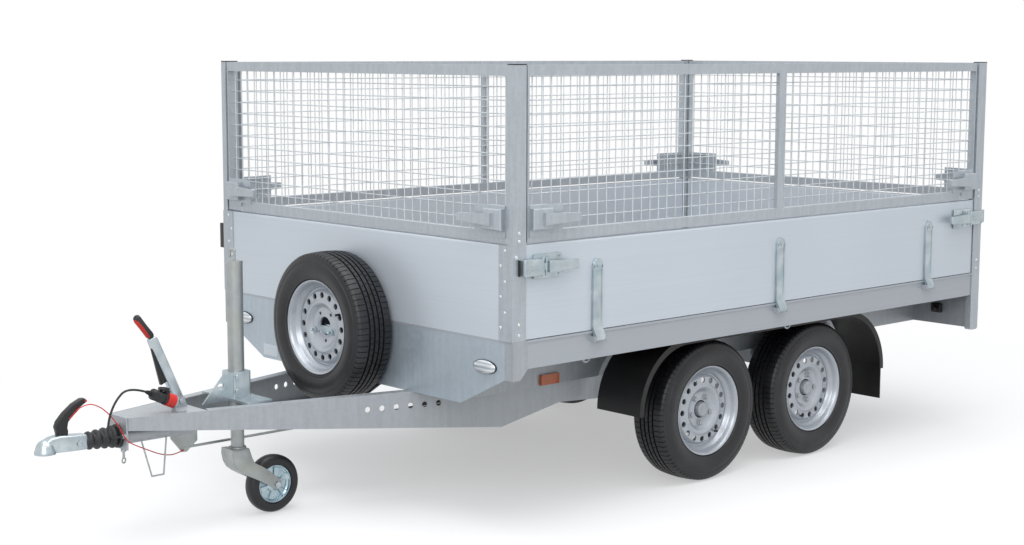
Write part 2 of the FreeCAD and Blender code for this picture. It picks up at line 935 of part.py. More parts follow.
def brake_linkage():
    """The brake rod along the drawbar, its relay plate under the housing, and the wire bow."""
    x0 = front_x - rod_front_place
    axle_front_face = front_x + front_axle_place - arm_length - axle_tube_size / 2
    x1 = axle_front_face - seat_gap
    bar = rod(V(x0 - relay_length / 2, rod_side, rod_height), V(x1, rod_side, rod_height), rod_radius)
    low = rod_side - relay_thickness / 2
    high = rod_side + relay_thickness / 2
    relay = prism_along_y(
        [
            (x0 - relay_length, coupling_height),
            (x0, coupling_height),
            (x0, rod_height + relay_toe),
            (x0 - relay_length / 2 + relay_toe / 2, relay_foot),
            (x0 - relay_length / 2 - relay_toe / 2, relay_foot),
            (x0 - relay_length, rod_height + relay_toe * 2),
        ],
        low,
        high,
    )
    carrier = box(x0 - relay_length, x0 - relay_length / 2, 0, low,
                  coupling_height - relay_toe, coupling_height)
    tube = rod(V(front_x - beam_front_place, 0, coupling_height),
               V(x0 + overrun, 0, coupling_height), housing_tube_radius + seat_gap)
    hanger = box(x1 - hanger_length, x1, low, high, rod_height, member_bottom - axle_tube_size / 2)
    linkage = joined([bar, relay, carrier, hanger]).cut(tube)
    keep("brake_linkage", [linkage, support_bow()])


def support_bow():
    """A bent wire bow under the housing."""
    x0 = front_x - bow_front_place
    x1 = front_x - bow_rear_place
    top = coupling_height
    y = bow_side
    corners = [
        V(x0, y, top),
        V(front_x - bow_front_foot_place, y, bow_foot_height),
        V(front_x - bow_rear_foot_place, y, bow_foot_height),
        V(x1, y, top),
    ]
    legs = [rod(a, b, bow_wire_radius) for a, b in zip(corners, corners[1:])]
    legs += [Part.makeSphere(bow_wire_radius, corner) for corner in corners[1:-1]]
    tube = rod(V(x0 - bow_wire_radius * 2, 0, top), V(x1 + bow_wire_radius * 2, 0, top),
               housing_tube_radius + seat_gap)
    return joined(legs).cut(tube)


# Jockey wheel
def jockey_clamp():
    """A clamp block on a bridge across the beams, with a slotted gusset ahead of it."""
    x = front_x - jockey_place
    block = box(x - clamp_half, x + clamp_half, -clamp_half, clamp_half,
                clamp_foot, clamp_foot + clamp_height)
    block = block.makeFillet(clamp_half / 4, [edge for edge in block.Edges
                                             if abs(edge.tangentAt(edge.FirstParameter).z) > seat_gap])
    bridge = box(x - bridge_length / 2, x + bridge_length / 2, -bridge_half, bridge_half,
                 member_bottom, member_bottom + bridge_thickness)
    bridge = bridge.fuse(box(x - bridge_length / 2, x + bridge_length / 2, -clamp_half, clamp_half,
                             member_bottom, clamp_foot))
    tube = rod(V(x, 0, jockey_tube_foot), V(x, 0, jockey_tube_top), jockey_tube_radius)
    front = x - clamp_half
    outline = [
        (front, clamp_foot),
        (front, clamp_foot + clamp_height),
        (front - clamp_half, clamp_foot + clamp_height),
        (front - clamp_height - clamp_half, member_bottom),
        (front, member_bottom),
    ]
    side = clamp_half - gusset_thickness
    gusset = prism_along_y(outline, -side - gusset_thickness, -side)
    slot_x = front - clamp_half - gusset_slot_radius
    slot_z = clamp_foot + clamp_height / 2
    slot = rod(V(slot_x, -clamp_half - overrun, slot_z), V(slot_x, -side + overrun, slot_z),
               gusset_slot_radius)
    keep("jockey_clamp", [joined([block, bridge, gusset]).cut(slot).cut(tube)])


def jockey_outer_tube():
    x = front_x - jockey_place
    tube = rod(V(x, 0, jockey_tube_foot), V(x, 0, jockey_tube_top), jockey_tube_radius)
    bore = rod(V(x, 0, jockey_tube_foot - overrun), V(x, 0, jockey_tube_top - jockey_tube_wall),
               jockey_leg_radius + seat_gap)
    tube = tube.cut(bore)
    top = jockey_tube_top
    stem = rod(V(x, 0, top), V(x, 0, top + crank_height), crank_radius)
    arm = rod(V(x, 0, top + crank_height), V(x, crank_arm, top + crank_height), crank_radius)
    knob = rod(V(x, crank_arm, top + crank_height), V(x, crank_arm, top + crank_radius * 2), crank_radius)
    balls = [Part.makeSphere(crank_radius, V(x, y, top + crank_height)) for y in (0, crank_arm)]
    keep("jockey_outer_tube", [joined([tube, stem, arm, knob] + balls)])


def jockey_leg():
    x = front_x - jockey_place
    leg = rod(V(x, 0, jockey_leg_foot + fork_head_height + seat_gap), V(x, 0, jockey_leg_top),
              jockey_leg_radius)
    keep("jockey_leg", [leg])


def jockey_fork():
    """A swivel head with two plates that reach back to the wheel's axle."""
    x = front_x - jockey_place
    head = rod(V(x, 0, jockey_leg_foot), V(x, 0, jockey_leg_foot + fork_head_height), fork_head_radius)
    half = jockey_wheel_width / 2 + fork_side_gap
    axle_x = x + jockey_trail
    axle_z = jockey_wheel_radius
    neck = box(x - fork_head_radius / 2, x + fork_head_radius / 2, -half - fork_plate, half + fork_plate,
               jockey_leg_foot - fork_plate, jockey_leg_foot)
    arms = []
    reach = jockey_axle_radius * 2
    for side in (-1, 1):
        y0, y1 = sorted((side * half, side * (half + fork_plate)))
        outline = [
            (x - fork_head_radius / 2, jockey_leg_foot),
            (x - fork_head_radius / 2, jockey_leg_foot - fork_head_radius),
            (axle_x - reach, axle_z - reach),
            (axle_x + reach, axle_z - reach),
            (axle_x + reach, axle_z + reach),
            (x + fork_head_radius, jockey_leg_foot - fork_plate * 2),
            (x + fork_head_radius / 2, jockey_leg_foot),
        ]
        arms.append(prism_along_y(outline, y0, y1))
    axle = rod(V(axle_x, -half - fork_plate * 2, axle_z), V(axle_x, half + fork_plate * 2, axle_z),
               jockey_axle_radius)
    keep("jockey_fork", [joined([head, neck, axle] + arms)])


def jockey_wheel():
    centre = V(front_x - jockey_place + jockey_trail, 0, jockey_wheel_radius)
    half = jockey_rim_width / 2
    wall = jockey_rim_radius / 6
    bore = jockey_axle_radius + pin_gap
    rim = turned(
        [
            (-half, bore),
            (-half, bore * 2),
            (-wall / 2, bore * 2),
            (-wall / 2, jockey_rim_radius - wall),
            (-half, jockey_rim_radius - wall / 2),
            (-half, jockey_rim_radius),
            (half, jockey_rim_radius),
            (half, jockey_rim_radius - wall / 2),
            (wall / 2, jockey_rim_radius - wall),
            (wall / 2, bore * 2),
            (half, bore * 2),
            (half, bore),
        ],
        centre,
        Y_AXIS,
    )
    keep("jockey_rim", [rim])
    half = jockey_wheel_width / 2
    inner = jockey_rim_radius + seat_gap
    shoulder = jockey_wheel_radius - wall
    tyre = turned(
        [
            (-half, inner),
            (-half, shoulder),
            (-half / 2, jockey_wheel_radius),
            (half / 2, jockey_wheel_radius),
            (half, shoulder),
            (half, inner),
        ],
        centre,
        Y_AXIS,
    )
    keep("jockey_tyre", [tyre])


# Wheels and axles
def rim_solid(centre, axis, hub):
    """A pressed steel wheel seen from its outer side along the axis, with or without its hub and drum."""
    front = rim_width / 2
    disc = front - disc_inset
    outline = [
        (front, rim_radius - rim_lip_wall),
        (front, rim_radius),
        (-front, rim_radius),
        (-front, rim_well_radius),
        (disc - disc_dish - disc_wall, rim_well_radius),
        (disc - disc_wall, disc_outer_radius),
        (disc - disc_wall, disc_pad_radius),
        (disc - disc_dish - disc_wall, disc_pad_radius - disc_dish),
        (disc - disc_dish - disc_wall, hub_bore_radius),
        (disc - disc_dish, hub_bore_radius),
        (disc - disc_dish, disc_pad_radius - disc_dish),
        (disc, disc_pad_radius),
        (disc, disc_outer_radius),
        (disc - disc_dish, rim_well_radius - rim_lip_wall),
        (front - rim_lip_depth, rim_radius - 2 * rim_lip_wall),
    ]
    return turned(outline, centre, axis)


def vent_cutters(centre, axis):
    """Prisms for the ring of vent holes in the disc."""
    disc = rim_width / 2 - disc_inset
    cutters = []
    for index in range(vent_count):
        angle = 2 * math.pi * index / vent_count
        points = []
        for corner in range(vent_sides):
            turn = 2 * math.pi * corner / vent_sides
            side = vent_circle * math.cos(angle) + vent_radius * math.cos(turn)
            up = vent_circle * math.sin(angle) + vent_radius * math.sin(turn)
            points.append((side, up))
        flat = Z_AXIS
        across = axis.cross(flat)
        base = centre + axis * (disc - disc_wall - overrun)
        face = face_of([base + across * s + flat * u for s, u in points])
        cutters.append(face.extrude(axis * (disc_wall + 2 * overrun)))
    return cutters


def hub_solid(centre, axis):
    """Brake drum, hub and dust cap, turned about the wheel's axis."""
    disc = rim_width / 2 - disc_inset - disc_dish
    back = disc - disc_wall
    bore = spindle_radius + pin_gap
    outline = [
        (back - drum_depth, bore),
        (back - drum_depth, drum_radius),
        (back, drum_radius),
        (back, hub_bore_radius - seat_gap),
        (disc, hub_bore_radius - seat_gap),
        (disc, hub_cap_radius),
        (disc + hub_cap_reach / 2, hub_cap_radius),
        (disc + hub_cap_reach, hub_cap_radius / 2),
        (disc + hub_cap_reach, 0),
        (disc, 0),
        (disc, bore),
    ]
    return turned(outline, centre, axis)


def tyre_solid(centre, axis):
    half = tyre_width / 2
    shoulder = tyre_radius - tyre_shoulder_drop
    edge = half - tyre_shoulder_inset
    inner = rim_radius + seat_gap
    return turned(
        [
            (-half, inner),
            (-half, shoulder - tyre_shoulder_inset),
            (-edge, tyre_radius),
            (edge, tyre_radius),
            (half, shoulder - tyre_shoulder_inset),
            (half, inner),
        ],
        centre,
        axis,
    )


def wheels():
    for end, place in zip(("front", "rear"), wheel_places):
        for side, sign in (("left", -1), ("right", 1)):
            centre = V(front_x + place, sign * wheel_centre, tyre_radius)
            axis = V(0, sign, 0)
            rim = joined([rim_solid(centre, axis, True), hub_solid(centre, axis)])
            keep(f"wheel_{end}_{side}", [rim])
            keep(f"tyre_{end}_{side}", [tyre_solid(centre, axis)])


def spare_wheel():
    x = front_x - tyre_width / 2 - spare_back_gap
    centre = V(x, spare_side, spare_height)
    axis = V(-1, 0, 0)
    keep("spare_rim", [rim_solid(centre, axis, False)])
    keep("spare_tyre", [tyre_solid(centre, axis)])
    disc_front = x - (rim_width / 2 - disc_inset - disc_dish)
    bar_front = disc_front - seat_gap - spare_bar_thickness
    half = spare_post_size / 2
    post = box(disc_front - seat_gap, front_x - spare_plate_thickness, spare_side - half / 2,
               spare_side + half / 2, spare_height - half / 2, spare_height + half / 2)
    plate_half = spare_plate_size / 2
    plate = box(front_x - spare_plate_thickness - seat_gap, front_x - seat_gap,
                spare_side - plate_half, spare_side + plate_half,
                rail_top - plate_half, rail_top + plate_half)
    bar = box(bar_front, bar_front + spare_bar_thickness, spare_side - spare_bar_length / 2,
              spare_side + spare_bar_length / 2, spare_height - spare_bar_height / 2,
              spare_height + spare_bar_height / 2)
    nuts = [rod(V(bar_front - spare_nut_height, y, spare_height), V(bar_front, y, spare_height),
                spare_nut_radius) for y in (spare_side - half, spare_side + half)]
    keep("spare_bracket", [joined([post, plate, bar] + nuts)])


def axles():
    for end, place in zip(("front", "rear"), wheel_places):
        hub_x = front_x + place
        tube_x = hub_x - arm_length
        half = axle_tube_size / 2
        tube_z = member_bottom - half - seat_gap
        tube = box(tube_x - half, tube_x + half, -axle_tube_half, axle_tube_half,
                   tube_z - half, tube_z + half)
        tube.translate(V(0, 0, 0))
        arms = []
        for sign in (-1, 1):
            y0 = sign * (arm_face - overrun)
            y1 = sign * (arm_face + arm_thickness)
            arm = arm_solid(V(tube_x, y0, tube_z), V(hub_x, y0, tyre_radius), y1 - y0)
            disc_back = wheel_centre + rim_width / 2 - disc_inset - disc_dish - disc_wall - drum_depth
            spindle = rod(V(hub_x, y1, tyre_radius),
                          V(hub_x, sign * (disc_back + drum_depth), tyre_radius), spindle_radius)
            backing_y = sign * (disc_back - drum_gap)
            backing = rod(V(hub_x, backing_y - sign * backing_thickness, tyre_radius),
                          V(hub_x, backing_y, tyre_radius), backing_radius)
            arms += [arm, spindle, backing]
        keep(f"axle_{end}", [joined([tube] + arms)])


def arm_solid(tube_end, hub_end, depth):
    """A trailing arm: two round ends joined by straight tangent sides."""
    push = V(0, depth, 0)
    a = Part.makeCylinder(arm_tube_end_radius, abs(depth), tube_end, push)
    b = Part.makeCylinder(arm_hub_end_radius, abs(depth), hub_end, push)
    line = hub_end.sub(tube_end)
    length = line.Length
    along = line * (1 / length)
    square = V(-along.z, 0, along.x)
    tilt = math.acos((arm_tube_end_radius - arm_hub_end_radius) / length)
    sides = []
    for sign in (1, -1):
        out = along * math.cos(tilt) + square * (sign * math.sin(tilt))
        sides.append((tube_end + out * arm_tube_end_radius, hub_end + out * arm_hub_end_radius))
    (a0, b0), (a1, b1) = sides
    web = face_of([a0, b0, b1, a1]).extrude(push)
    return joined([a, b, web])


def guard_path(offset):
    """The mudguard's outline in the X, Z plane, moved inwards by an offset."""
    x0 = front_x + guard_front_place + offset
    x1 = front_x + guard_rear_place - offset
    top = rail_bottom - seat_gap - offset
    bend = guard_bend_radius - offset
    return x0, x1, top, bend


def guard_solid(offset, y0, y1):
    x0, x1, top, bend = guard_path(offset)
    foot = guard_foot_height
    diag = bend * math.sqrt(0.5)
    lines = [
        Part.LineSegment(V(x0, y0, foot), V(x0, y0, top - bend)),
        Part.Arc(V(x0, y0, top - bend), V(x0 + bend - diag, y0, top - bend + diag), V(x0 + bend, y0, top)),
        Part.LineSegment(V(x0 + bend, y0, top), V(x1 - bend, y0, top)),
        Part.Arc(V(x1 - bend, y0, top), V(x1 - bend + diag, y0, top - bend + diag), V(x1, y0, top - bend)),
        Part.LineSegment(V(x1, y0, top - bend), V(x1, y0, foot)),
        Part.LineSegment(V(x1, y0, foot), V(x0, y0, foot)),
    ]
    wire = Part.Wire([line.toShape() for line in lines])
    return Part.Face(wire).extrude(V(0, y1 - y0, 0))


def mudguard():
    shell = guard_solid(0, guard_inner_face, guard_outer_face)
    inside = guard_solid(guard_wall, guard_inner_face - overrun, guard_outer_face - guard_wall)
    throat = guard_solid(guard_lip, guard_inner_face - overrun, guard_outer_face + overrun)
    drop = guard_foot_height
    x0, x1, top, bend = guard_path(guard_wall)
    below = box(x0, x1, guard_inner_face - overrun, guard_outer_face - guard_wall,
                drop - overrun, drop + overrun)
    x0, x1, top, bend = guard_path(guard_lip)
    mouth = box(x0, x1, guard_inner_face - overrun, guard_outer_face + overrun,
                drop - overrun, drop + overrun)
    shell = shell.cut(inside).cut(throat).cut(below).cut(mouth)
    rear = front_x + guard_rear_place
    flap = box(rear - flap_thickness, rear, guard_inner_face + flap_inset, guard_outer_face - flap_inset,
               guard_foot_height - flap_drop, guard_foot_height + flap_inset)
    return joined([shell, flap])


def mudguards():
    right = mudguard()
    keep("mudguard_right", [right])
    keep("mudguard_left", [mirrored(right)])


# Drop sides and tailboard
def board_solid(half):
    """A board with a rounded bead along its top, its outer face just inside x = 0."""
    outer = -board_inset
    inner = outer - board_thickness
    outline = [
        (outer, board_bottom),
        (outer, board_top - board_bead),
        (outer - board_bead / 2, board_top),
        (inner + board_bead / 2, board_top),
        (inner, board_top - board_bead),
        (inner, board_bottom),
    ]
    return prism_along_y(outline, -half, half)


def strap_solid(place):
    """A rounded strap up the board's face, with the hinge knuckle at its foot."""
    half = strap_width / 2
    inner = -board_inset + seat_gap
    outer = inner + strap_depth
    top = board_top - strap_top_drop
    foot = hinge_height
    bar = box(inner, outer, place - half, place + half, board_bottom, top - half)
    head = rod(V(inner, place, top - half), V(outer, place, top - half), half)
    groove = box(inner - overrun, outer - strap_depth / 3, place - half + strap_depth / 3,
                 place + half - strap_depth / 3, board_bottom + half, top - half)
    drop = prism_along_y(
        [
            (inner, board_bottom + strap_foot_lift),
            (outer, board_bottom + strap_foot_lift),
            (hinge_reach + knuckle_radius, foot + knuckle_radius),
            (hinge_reach + knuckle_radius, foot),
            (hinge_reach - knuckle_radius, foot),
            (rail_inset, board_bottom - board_foot_gap + strap_foot_lift),
        ],
        place - half,
        place + half,
    )
    knuckle = rod(V(hinge_reach, place - half, foot), V(hinge_reach, place + half, foot), knuckle_radius)
    bore = rod(V(hinge_reach, place - half - overrun, foot), V(hinge_reach, place + half + overrun, foot),
               hinge_pin_radius + pin_gap)
    clear = box(-strap_depth, seat_gap * 2, place - half - overrun, place + half + overrun,
                foot - knuckle_radius * 2, rail_top + seat_gap * 2)
    return joined([bar, head, drop, knuckle]).cut(bore).cut(clear).cut(groove)


def lock_solid(edge, middle, sign, outer):
    """A toggle lock: case, back plate and tapered handle that points away from the post."""
    y0 = edge
    y1 = edge + sign * lock_length * lock_case_share
    y2 = edge + sign * lock_length
    back = outer + seat_gap
    front = back + lock_reach - board_inset
    case_half = lock_case_height / 2
    low, high = sorted((y0, y1))
    case = box(back + lock_plate_thickness, front - lock_handle_thickness / 2, low, high,
               middle - case_half, middle + case_half)
    case = case.makeFillet(lock_plate_thickness, [e for e in case.Edges
                                                  if abs(e.CenterOfMass.x - case.BoundBox.XMax) < seat_gap])
    plate_end = y0 + sign * lock_length * (lock_case_share + 1) / 2
    low, high = sorted((y0, plate_end))
    plate = box(back, back + lock_plate_thickness, low, high,
                middle - lock_plate_height / 2, middle + lock_plate_height / 2)
    root = lock_handle_root / 2
    tip = lock_handle_tip / 2
    handle = face_of([
        V(front - lock_handle_thickness, y0 + (y1 - y0) / 2, middle - root),
        V(front - lock_handle_thickness, y0 + (y1 - y0) / 2, middle + root),
        V(front - lock_handle_thickness, y2, middle + tip),
        V(front - lock_handle_thickness, y2, middle - tip),
    ]).extrude(V(lock_handle_thickness, 0, 0))
    return joined([case, plate, handle])


def board_panel(name, side, half, strap_places):
    board = board_solid(half)
    keep(name, [set_panel(board, side)])
    middle = board_top - lock_drop
    fittings = [strap_solid(place) for place in strap_places]
    for sign in (-1, 1):
        lock = lock_solid(-sign * (half + lock_overlap), middle, sign, 0)
        seat = box(-board_inset + seat_gap, seat_gap + lock_plate_thickness,
                   *sorted((-sign * (half - lock_overlap / 2), -sign * (half - lock_plate_height))),
                   middle - lock_plate_height / 2, middle + lock_plate_height / 2)
        fittings.append(joined([lock, seat]))
    keep(f"{name}_fittings", [set_panel(piece, side) for piece in fittings])


def boards():
    half = body_length / 2 - post_length - board_end_gap
    centre = body_length / 2
    right = [place - centre for place in side_strap_places]
    left = [centre - place for place in side_strap_places]
    board_panel("side_board_right", "right", half, [-p for p in right])
    board_panel("side_board_left", "left", half, [-p for p in left])
    half = body_width / 2 - post_width - board_end_gap
    tail = [share * body_width for share in (-tail_strap_share, tail_strap_share)]
    board_panel("tailboard", "rear", half, tail)


# Mesh panels
def mesh_frame(half, end_gap, uprights):
    """A frame of flat tube that hangs on pins near its top, outer face just inside x = 0."""
    outer = -frame_inset
    inner = outer - frame_depth
    span = half
    top = box(inner, outer, -span, span, mesh_top - frame_height, mesh_top)
    bottom = box(inner, outer, -span, span, mesh_bottom, mesh_bottom + frame_height)
    bars = [top, bottom]
    for sign in (-1, 1):
        y0, y1 = sorted((sign * span, sign * (span - frame_end_width)))
        bars.append(box(inner, outer, y0, y1, mesh_bottom, mesh_top))
    for place in uprights:
        bars.append(box(outer - frame_upright_depth, outer, place - frame_height / 2,
                        place + frame_height / 2, mesh_bottom, mesh_top))
    for sign in (-1, 1):
        lock = lock_solid(-sign * (span - frame_end_width), mesh_bottom + mesh_lock_lift, sign, outer)
        seat = box(outer - frame_upright_depth, outer + seat_gap + lock_plate_thickness,
                   *sorted((-sign * (span - frame_end_width), -sign * (span - lock_plate_height))),
                   mesh_bottom + frame_height / 2, mesh_bottom + mesh_lock_lift + lock_plate_height / 2)
        bars += [lock, seat]
    middle = (inner + outer) / 2
    bore = rod(V(middle, -span - overrun, pivot_height), V(middle, span + overrun, pivot_height),
               pivot_radius + pin_gap)
    inside = box(inner, outer, -span + frame_end_width, span - frame_end_width,
                 pivot_height - pivot_radius * 2, mesh_top)
    return joined(bars).cut(bore.cut(inside))


def mesh_wires(half):
    """Welded wires in two layers behind the uprights, ending on the frame."""
    front = -frame_inset - frame_upright_depth - seat_gap
    low = mesh_bottom + frame_height + seat_gap
    high = mesh_top - frame_height - seat_gap
    side = half - frame_end_width - seat_gap
    wires = []
    count = int((2 * side) // wire_pitch)
    for index in range(count):
        y = (index - (count - 1) / 2) * wire_pitch
        wires.append(box(front - wire_size, front, y - wire_size / 2, y + wire_size / 2, low, high))
    back = front - wire_size - seat_gap
    count = int((high - low) // wire_pitch)
    for index in range(count):
        z = (low + high) / 2 + (index - (count - 1) / 2) * wire_pitch
        wires.append(box(back - wire_size, back, -side, side, z - wire_size / 2, z + wire_size / 2))
    return wires


def mesh_panels():
    side_half = body_length / 2 - post_length - frame_end_gap
    end_half = body_width / 2 - post_width - frame_side_gap
    for side, half, uprights in (
        ("left", side_half, [0]),
        ("right", side_half, [0]),
        ("front", end_half, []),
        ("rear", end_half, []),
    ):
        keep(f"mesh_frame_{side}", [set_panel(mesh_frame(half, frame_end_gap, uprights), side)])
        keep(f"mesh_wires_{side}", [set_panel(wire, side) for wire in mesh_wires(half)])


# Cables
def cord_tube(points, radius):
    """A tube along straight runs joined by tangent arcs, each as large as its runs allow."""
    edges = []
    radii = []
    start = points[0]
    for before, corner, after in zip(points, points[1:], points[2:]):
        arrive = corner.sub(before)
        leave = after.sub(corner)
        turn = arrive.getAngle(leave)
        run = min(arrive.Length, leave.Length)
        setback = arc_share * run
        radii.append(round(setback / math.tan(turn / 2), 1))
        a = corner - arrive * (setback / arrive.Length)
        b = corner + leave * (setback / leave.Length)
        bisector = (leave * (1 / leave.Length) - arrive * (1 / arrive.Length))
        bisector.normalize()
        reach = radii[-1] / math.cos(turn / 2) - radii[-1]
        edges.append(Part.LineSegment(start, a).toShape())
        middle = corner + bisector * (setback / math.tan(turn / 2) * (1 / math.cos(turn / 2) - 1))
        edges.append(Part.Arc(a, middle, b).toShape())
        start = b
    edges.append(Part.LineSegment(start, points[-1]).toShape())
    wire = Part.Wire(edges)
    direction = points[1].sub(points[0])
    profile = Part.Wire(Part.Circle(points[0], direction, radius).toShape())
    tube = wire.makePipeShell([profile], True, True)
    length = sum(edge.Length for edge in edges)
    expected = math.pi * radius * radius * length
    print("cord length", round(length, 1), "radii", radii, "volume share", round(tube.Volume / expected, 4))
    return tube


def route(points):
    return [V(front_x + x, y, z) for x, y, z in points]


def lighting_cable():
    """The cable from the parked plug down to its gland in the housing flange."""
    tilt = math.radians(plug_tilt)
    reach = plug_length + plug_tail_length + 2 * seat_gap
    start = V(front_x - socket_place - reach * math.cos(tilt), socket_side,
              socket_height + reach * math.sin(tilt))
    points = [start] + route(lead_route)
    last = points[-1]
    face = front_x - beam_front_place - housing_flange_thickness - lead_gland_length
    points.append(V(face - seat_gap, last.y, last.z))
    keep("lighting_cable", [cord_tube(points, lead_radius)])


def breakaway_cable():
    keep("breakaway_cable", [cord_tube(route(trip_route), trip_radius)])


def parking_socket():
    x = front_x - socket_place
    centre = V(x, socket_side, socket_height)
    body = Part.makeCylinder(socket_radius, socket_length, centre, X_AXIS)
    body.rotate(centre, Y_AXIS, plug_tilt)
    keep("parking_socket", [body])


def socket_holder():
    """A strip folded up from the left beam's top that carries the parking socket."""
    x = front_x - socket_place + socket_length
    tilt = math.radians(plug_tilt)
    back = V(front_x - socket_place + (socket_length + seat_gap) * math.cos(tilt), socket_side,
             socket_height - (socket_length + seat_gap) * math.sin(tilt))
    disc = Part.makeCylinder(socket_radius, beam_wall, back, X_AXIS)
    disc.rotate(back, Y_AXIS, plug_tilt)
    half = socket_radius / 2
    leg = box(back.x, back.x + beam_wall, socket_side - half, socket_side + half,
              member_bottom + seat_gap, back.z)
    foot = box(back.x, back.x + socket_length, -beam_point(-socket_place).y, socket_side + half,
               member_bottom + seat_gap, member_bottom + seat_gap + beam_wall)
    return joined([disc, leg, foot])


def plug():
    tilt = math.radians(plug_tilt)
    centre = V(front_x - socket_place - seat_gap * math.cos(tilt), socket_side,
               socket_height + seat_gap * math.sin(tilt))
    body = Part.makeCylinder(plug_radius, plug_length, centre, X_AXIS.negative())
    tail_start = centre - X_AXIS * plug_length
    tail = Part.makeCone(plug_radius, plug_tail_radius, plug_tail_length, tail_start, X_AXIS.negative())
    shape = joined([body, tail])
    shape.rotate(centre, Y_AXIS, plug_tilt)
    keep("plug", [shape])


platform_rails()
floor()
cross_members()
chassis_members()
corner_posts()
post_caps()
corner_castings()
headboard()
apron()
rear_valance()
tail_lamps()
front_lamps()
side_reflectors()
drawbar_beams()
overrun_housing()
bellows()
coupling_head()
coupling_lever()
handbrake()
brake_linkage()
jockey_clamp()
jockey_outer_tube()
jockey_leg()
jockey_fork()
jockey_wheel()
wheels()
spare_wheel()
axles()
mudguards()
boards()
mesh_panels()
parking_socket()
plug()
lighting_cable()
breakaway_cable()
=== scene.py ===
# %% [markdown]
# # Dressing a utility trailer
# The trailer has a galvanised drawbar and platform, aluminium drop sides, mesh panels above
# them, two axles and a spare wheel on the headboard. The frame brings every folded, turned and
# welded part at its real size. This lesson gives each surface its finish, and adds what the
# frame leaves plain: tyre tread, pressed rims, round mesh wire, bellows, bolts and cables.

# %% Load the frame
import json
import math
import bmesh
import bpy
from mathutils import Matrix, Vector


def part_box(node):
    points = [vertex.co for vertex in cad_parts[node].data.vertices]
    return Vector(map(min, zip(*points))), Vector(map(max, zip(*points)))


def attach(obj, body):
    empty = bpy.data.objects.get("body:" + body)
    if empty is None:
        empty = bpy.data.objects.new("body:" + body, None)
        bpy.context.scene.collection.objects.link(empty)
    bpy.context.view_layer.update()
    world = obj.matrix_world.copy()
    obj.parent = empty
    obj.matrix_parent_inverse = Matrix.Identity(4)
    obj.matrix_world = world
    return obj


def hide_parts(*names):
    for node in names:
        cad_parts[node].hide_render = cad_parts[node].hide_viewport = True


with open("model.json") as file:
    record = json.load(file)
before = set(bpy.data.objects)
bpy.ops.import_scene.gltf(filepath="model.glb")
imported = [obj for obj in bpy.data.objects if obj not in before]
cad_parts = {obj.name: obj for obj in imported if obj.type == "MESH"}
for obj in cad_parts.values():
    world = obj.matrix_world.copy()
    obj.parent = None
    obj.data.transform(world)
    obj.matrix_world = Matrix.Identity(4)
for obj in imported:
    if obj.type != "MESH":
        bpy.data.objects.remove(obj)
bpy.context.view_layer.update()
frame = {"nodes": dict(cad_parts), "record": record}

nodes = frame["nodes"]

# %% [markdown]
# ## The camera
# The photograph looks at the trailer's left front corner from about 6.6 metres, a little
# above the boards. A camera is placed either by eye or from measured points. Here the place
# and the lens come from the eight ends of the corner posts, so the outlines can be laid over
# the photograph.

# %% Camera
IMAGE_WIDTH = 1024
LENS_IN_PIXELS = 1715
SENSOR_WIDTH = 36
BODY_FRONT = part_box("headboard")[0][0]
CAMERA_PLACE = Vector((BODY_FRONT - 4.0147, -5.2919, 1.7347))
CAMERA_YAW = math.radians(42.482)
CAMERA_PITCH = math.radians(7.357)
CAMERA_ROLL = 0.0025
FARTHEST_SEEN = 200

bpy.ops.object.select_all(action="DESELECT")
bpy.ops.object.camera_add(location=CAMERA_PLACE)
camera = bpy.context.object
camera.name = "photo_camera"
camera.data.sensor_width = SENSOR_WIDTH
camera.data.lens = LENS_IN_PIXELS / IMAGE_WIDTH * SENSOR_WIDTH
camera.data.clip_end = FARTHEST_SEEN
turn = Matrix.Rotation(-CAMERA_YAW, 4, "Z") @ Matrix.Rotation(math.pi / 2 - CAMERA_PITCH, 4, "X")
camera.matrix_world = Matrix.Translation(CAMERA_PLACE) @ turn @ Matrix.Rotation(CAMERA_ROLL, 4, "Z")
bpy.context.scene.camera = camera
print("lens in mm:", round(camera.data.lens, 2))

# %% [markdown]
# ## Helpers for modelling
# Modelling in code follows the same steps as modelling by hand: add a primitive, go into edit
# mode, select by place, extrude and resize, leave edit mode, apply modifiers. Operators act on
# whatever is selected, so a helper that starts or changes a piece deselects the rest first. The
# helpers below name those steps, so that each piece further down reads as a short recipe.

# %% Start a primitive, go in and out of edit mode, select by place
def only(piece):
    """Selects one piece alone and makes it the active one."""
    bpy.ops.object.select_all(action="DESELECT")
    piece.select_set(True)
    bpy.context.view_layer.objects.active = piece


def begin(kind, **settings):
    """Adds a mesh primitive with nothing else selected, and returns its object."""
    bpy.ops.object.select_all(action="DESELECT")
    getattr(bpy.ops.mesh, f"primitive_{kind}_add")(**settings)
    return bpy.context.object


def apply_place():
    """Moves the place, turn and size of the selected piece into its mesh."""
    bpy.ops.object.transform_apply(location=True, rotation=True, scale=True)


def edit(piece, mode="EDGE"):
    """Goes into edit mode on one piece, with everything in it selected."""
    only(piece)
    bpy.ops.object.mode_set(mode="EDIT")
    bpy.ops.mesh.select_mode(type=mode)
    bpy.ops.mesh.select_all(action="SELECT")


def leave():
    bpy.ops.object.mode_set(mode="OBJECT")


def pick(piece, test):
    """In edit mode, selects the faces whose middle and normal pass the test, and no others."""
    bpy.ops.mesh.select_mode(type="FACE")
    bpy.ops.mesh.select_all(action="DESELECT")
    mesh = bmesh.from_edit_mesh(piece.data)
    count = 0
    for face in mesh.faces:
        chosen = test(face.calc_center_median(), face.normal)
        face.select_set(chosen)
        count += chosen
    bmesh.update_edit_mesh(piece.data)
    return count


# %% Turn a ring into a lathe shape, in the way one extrudes and resizes a circle
MERGE_DISTANCE = 0.00002


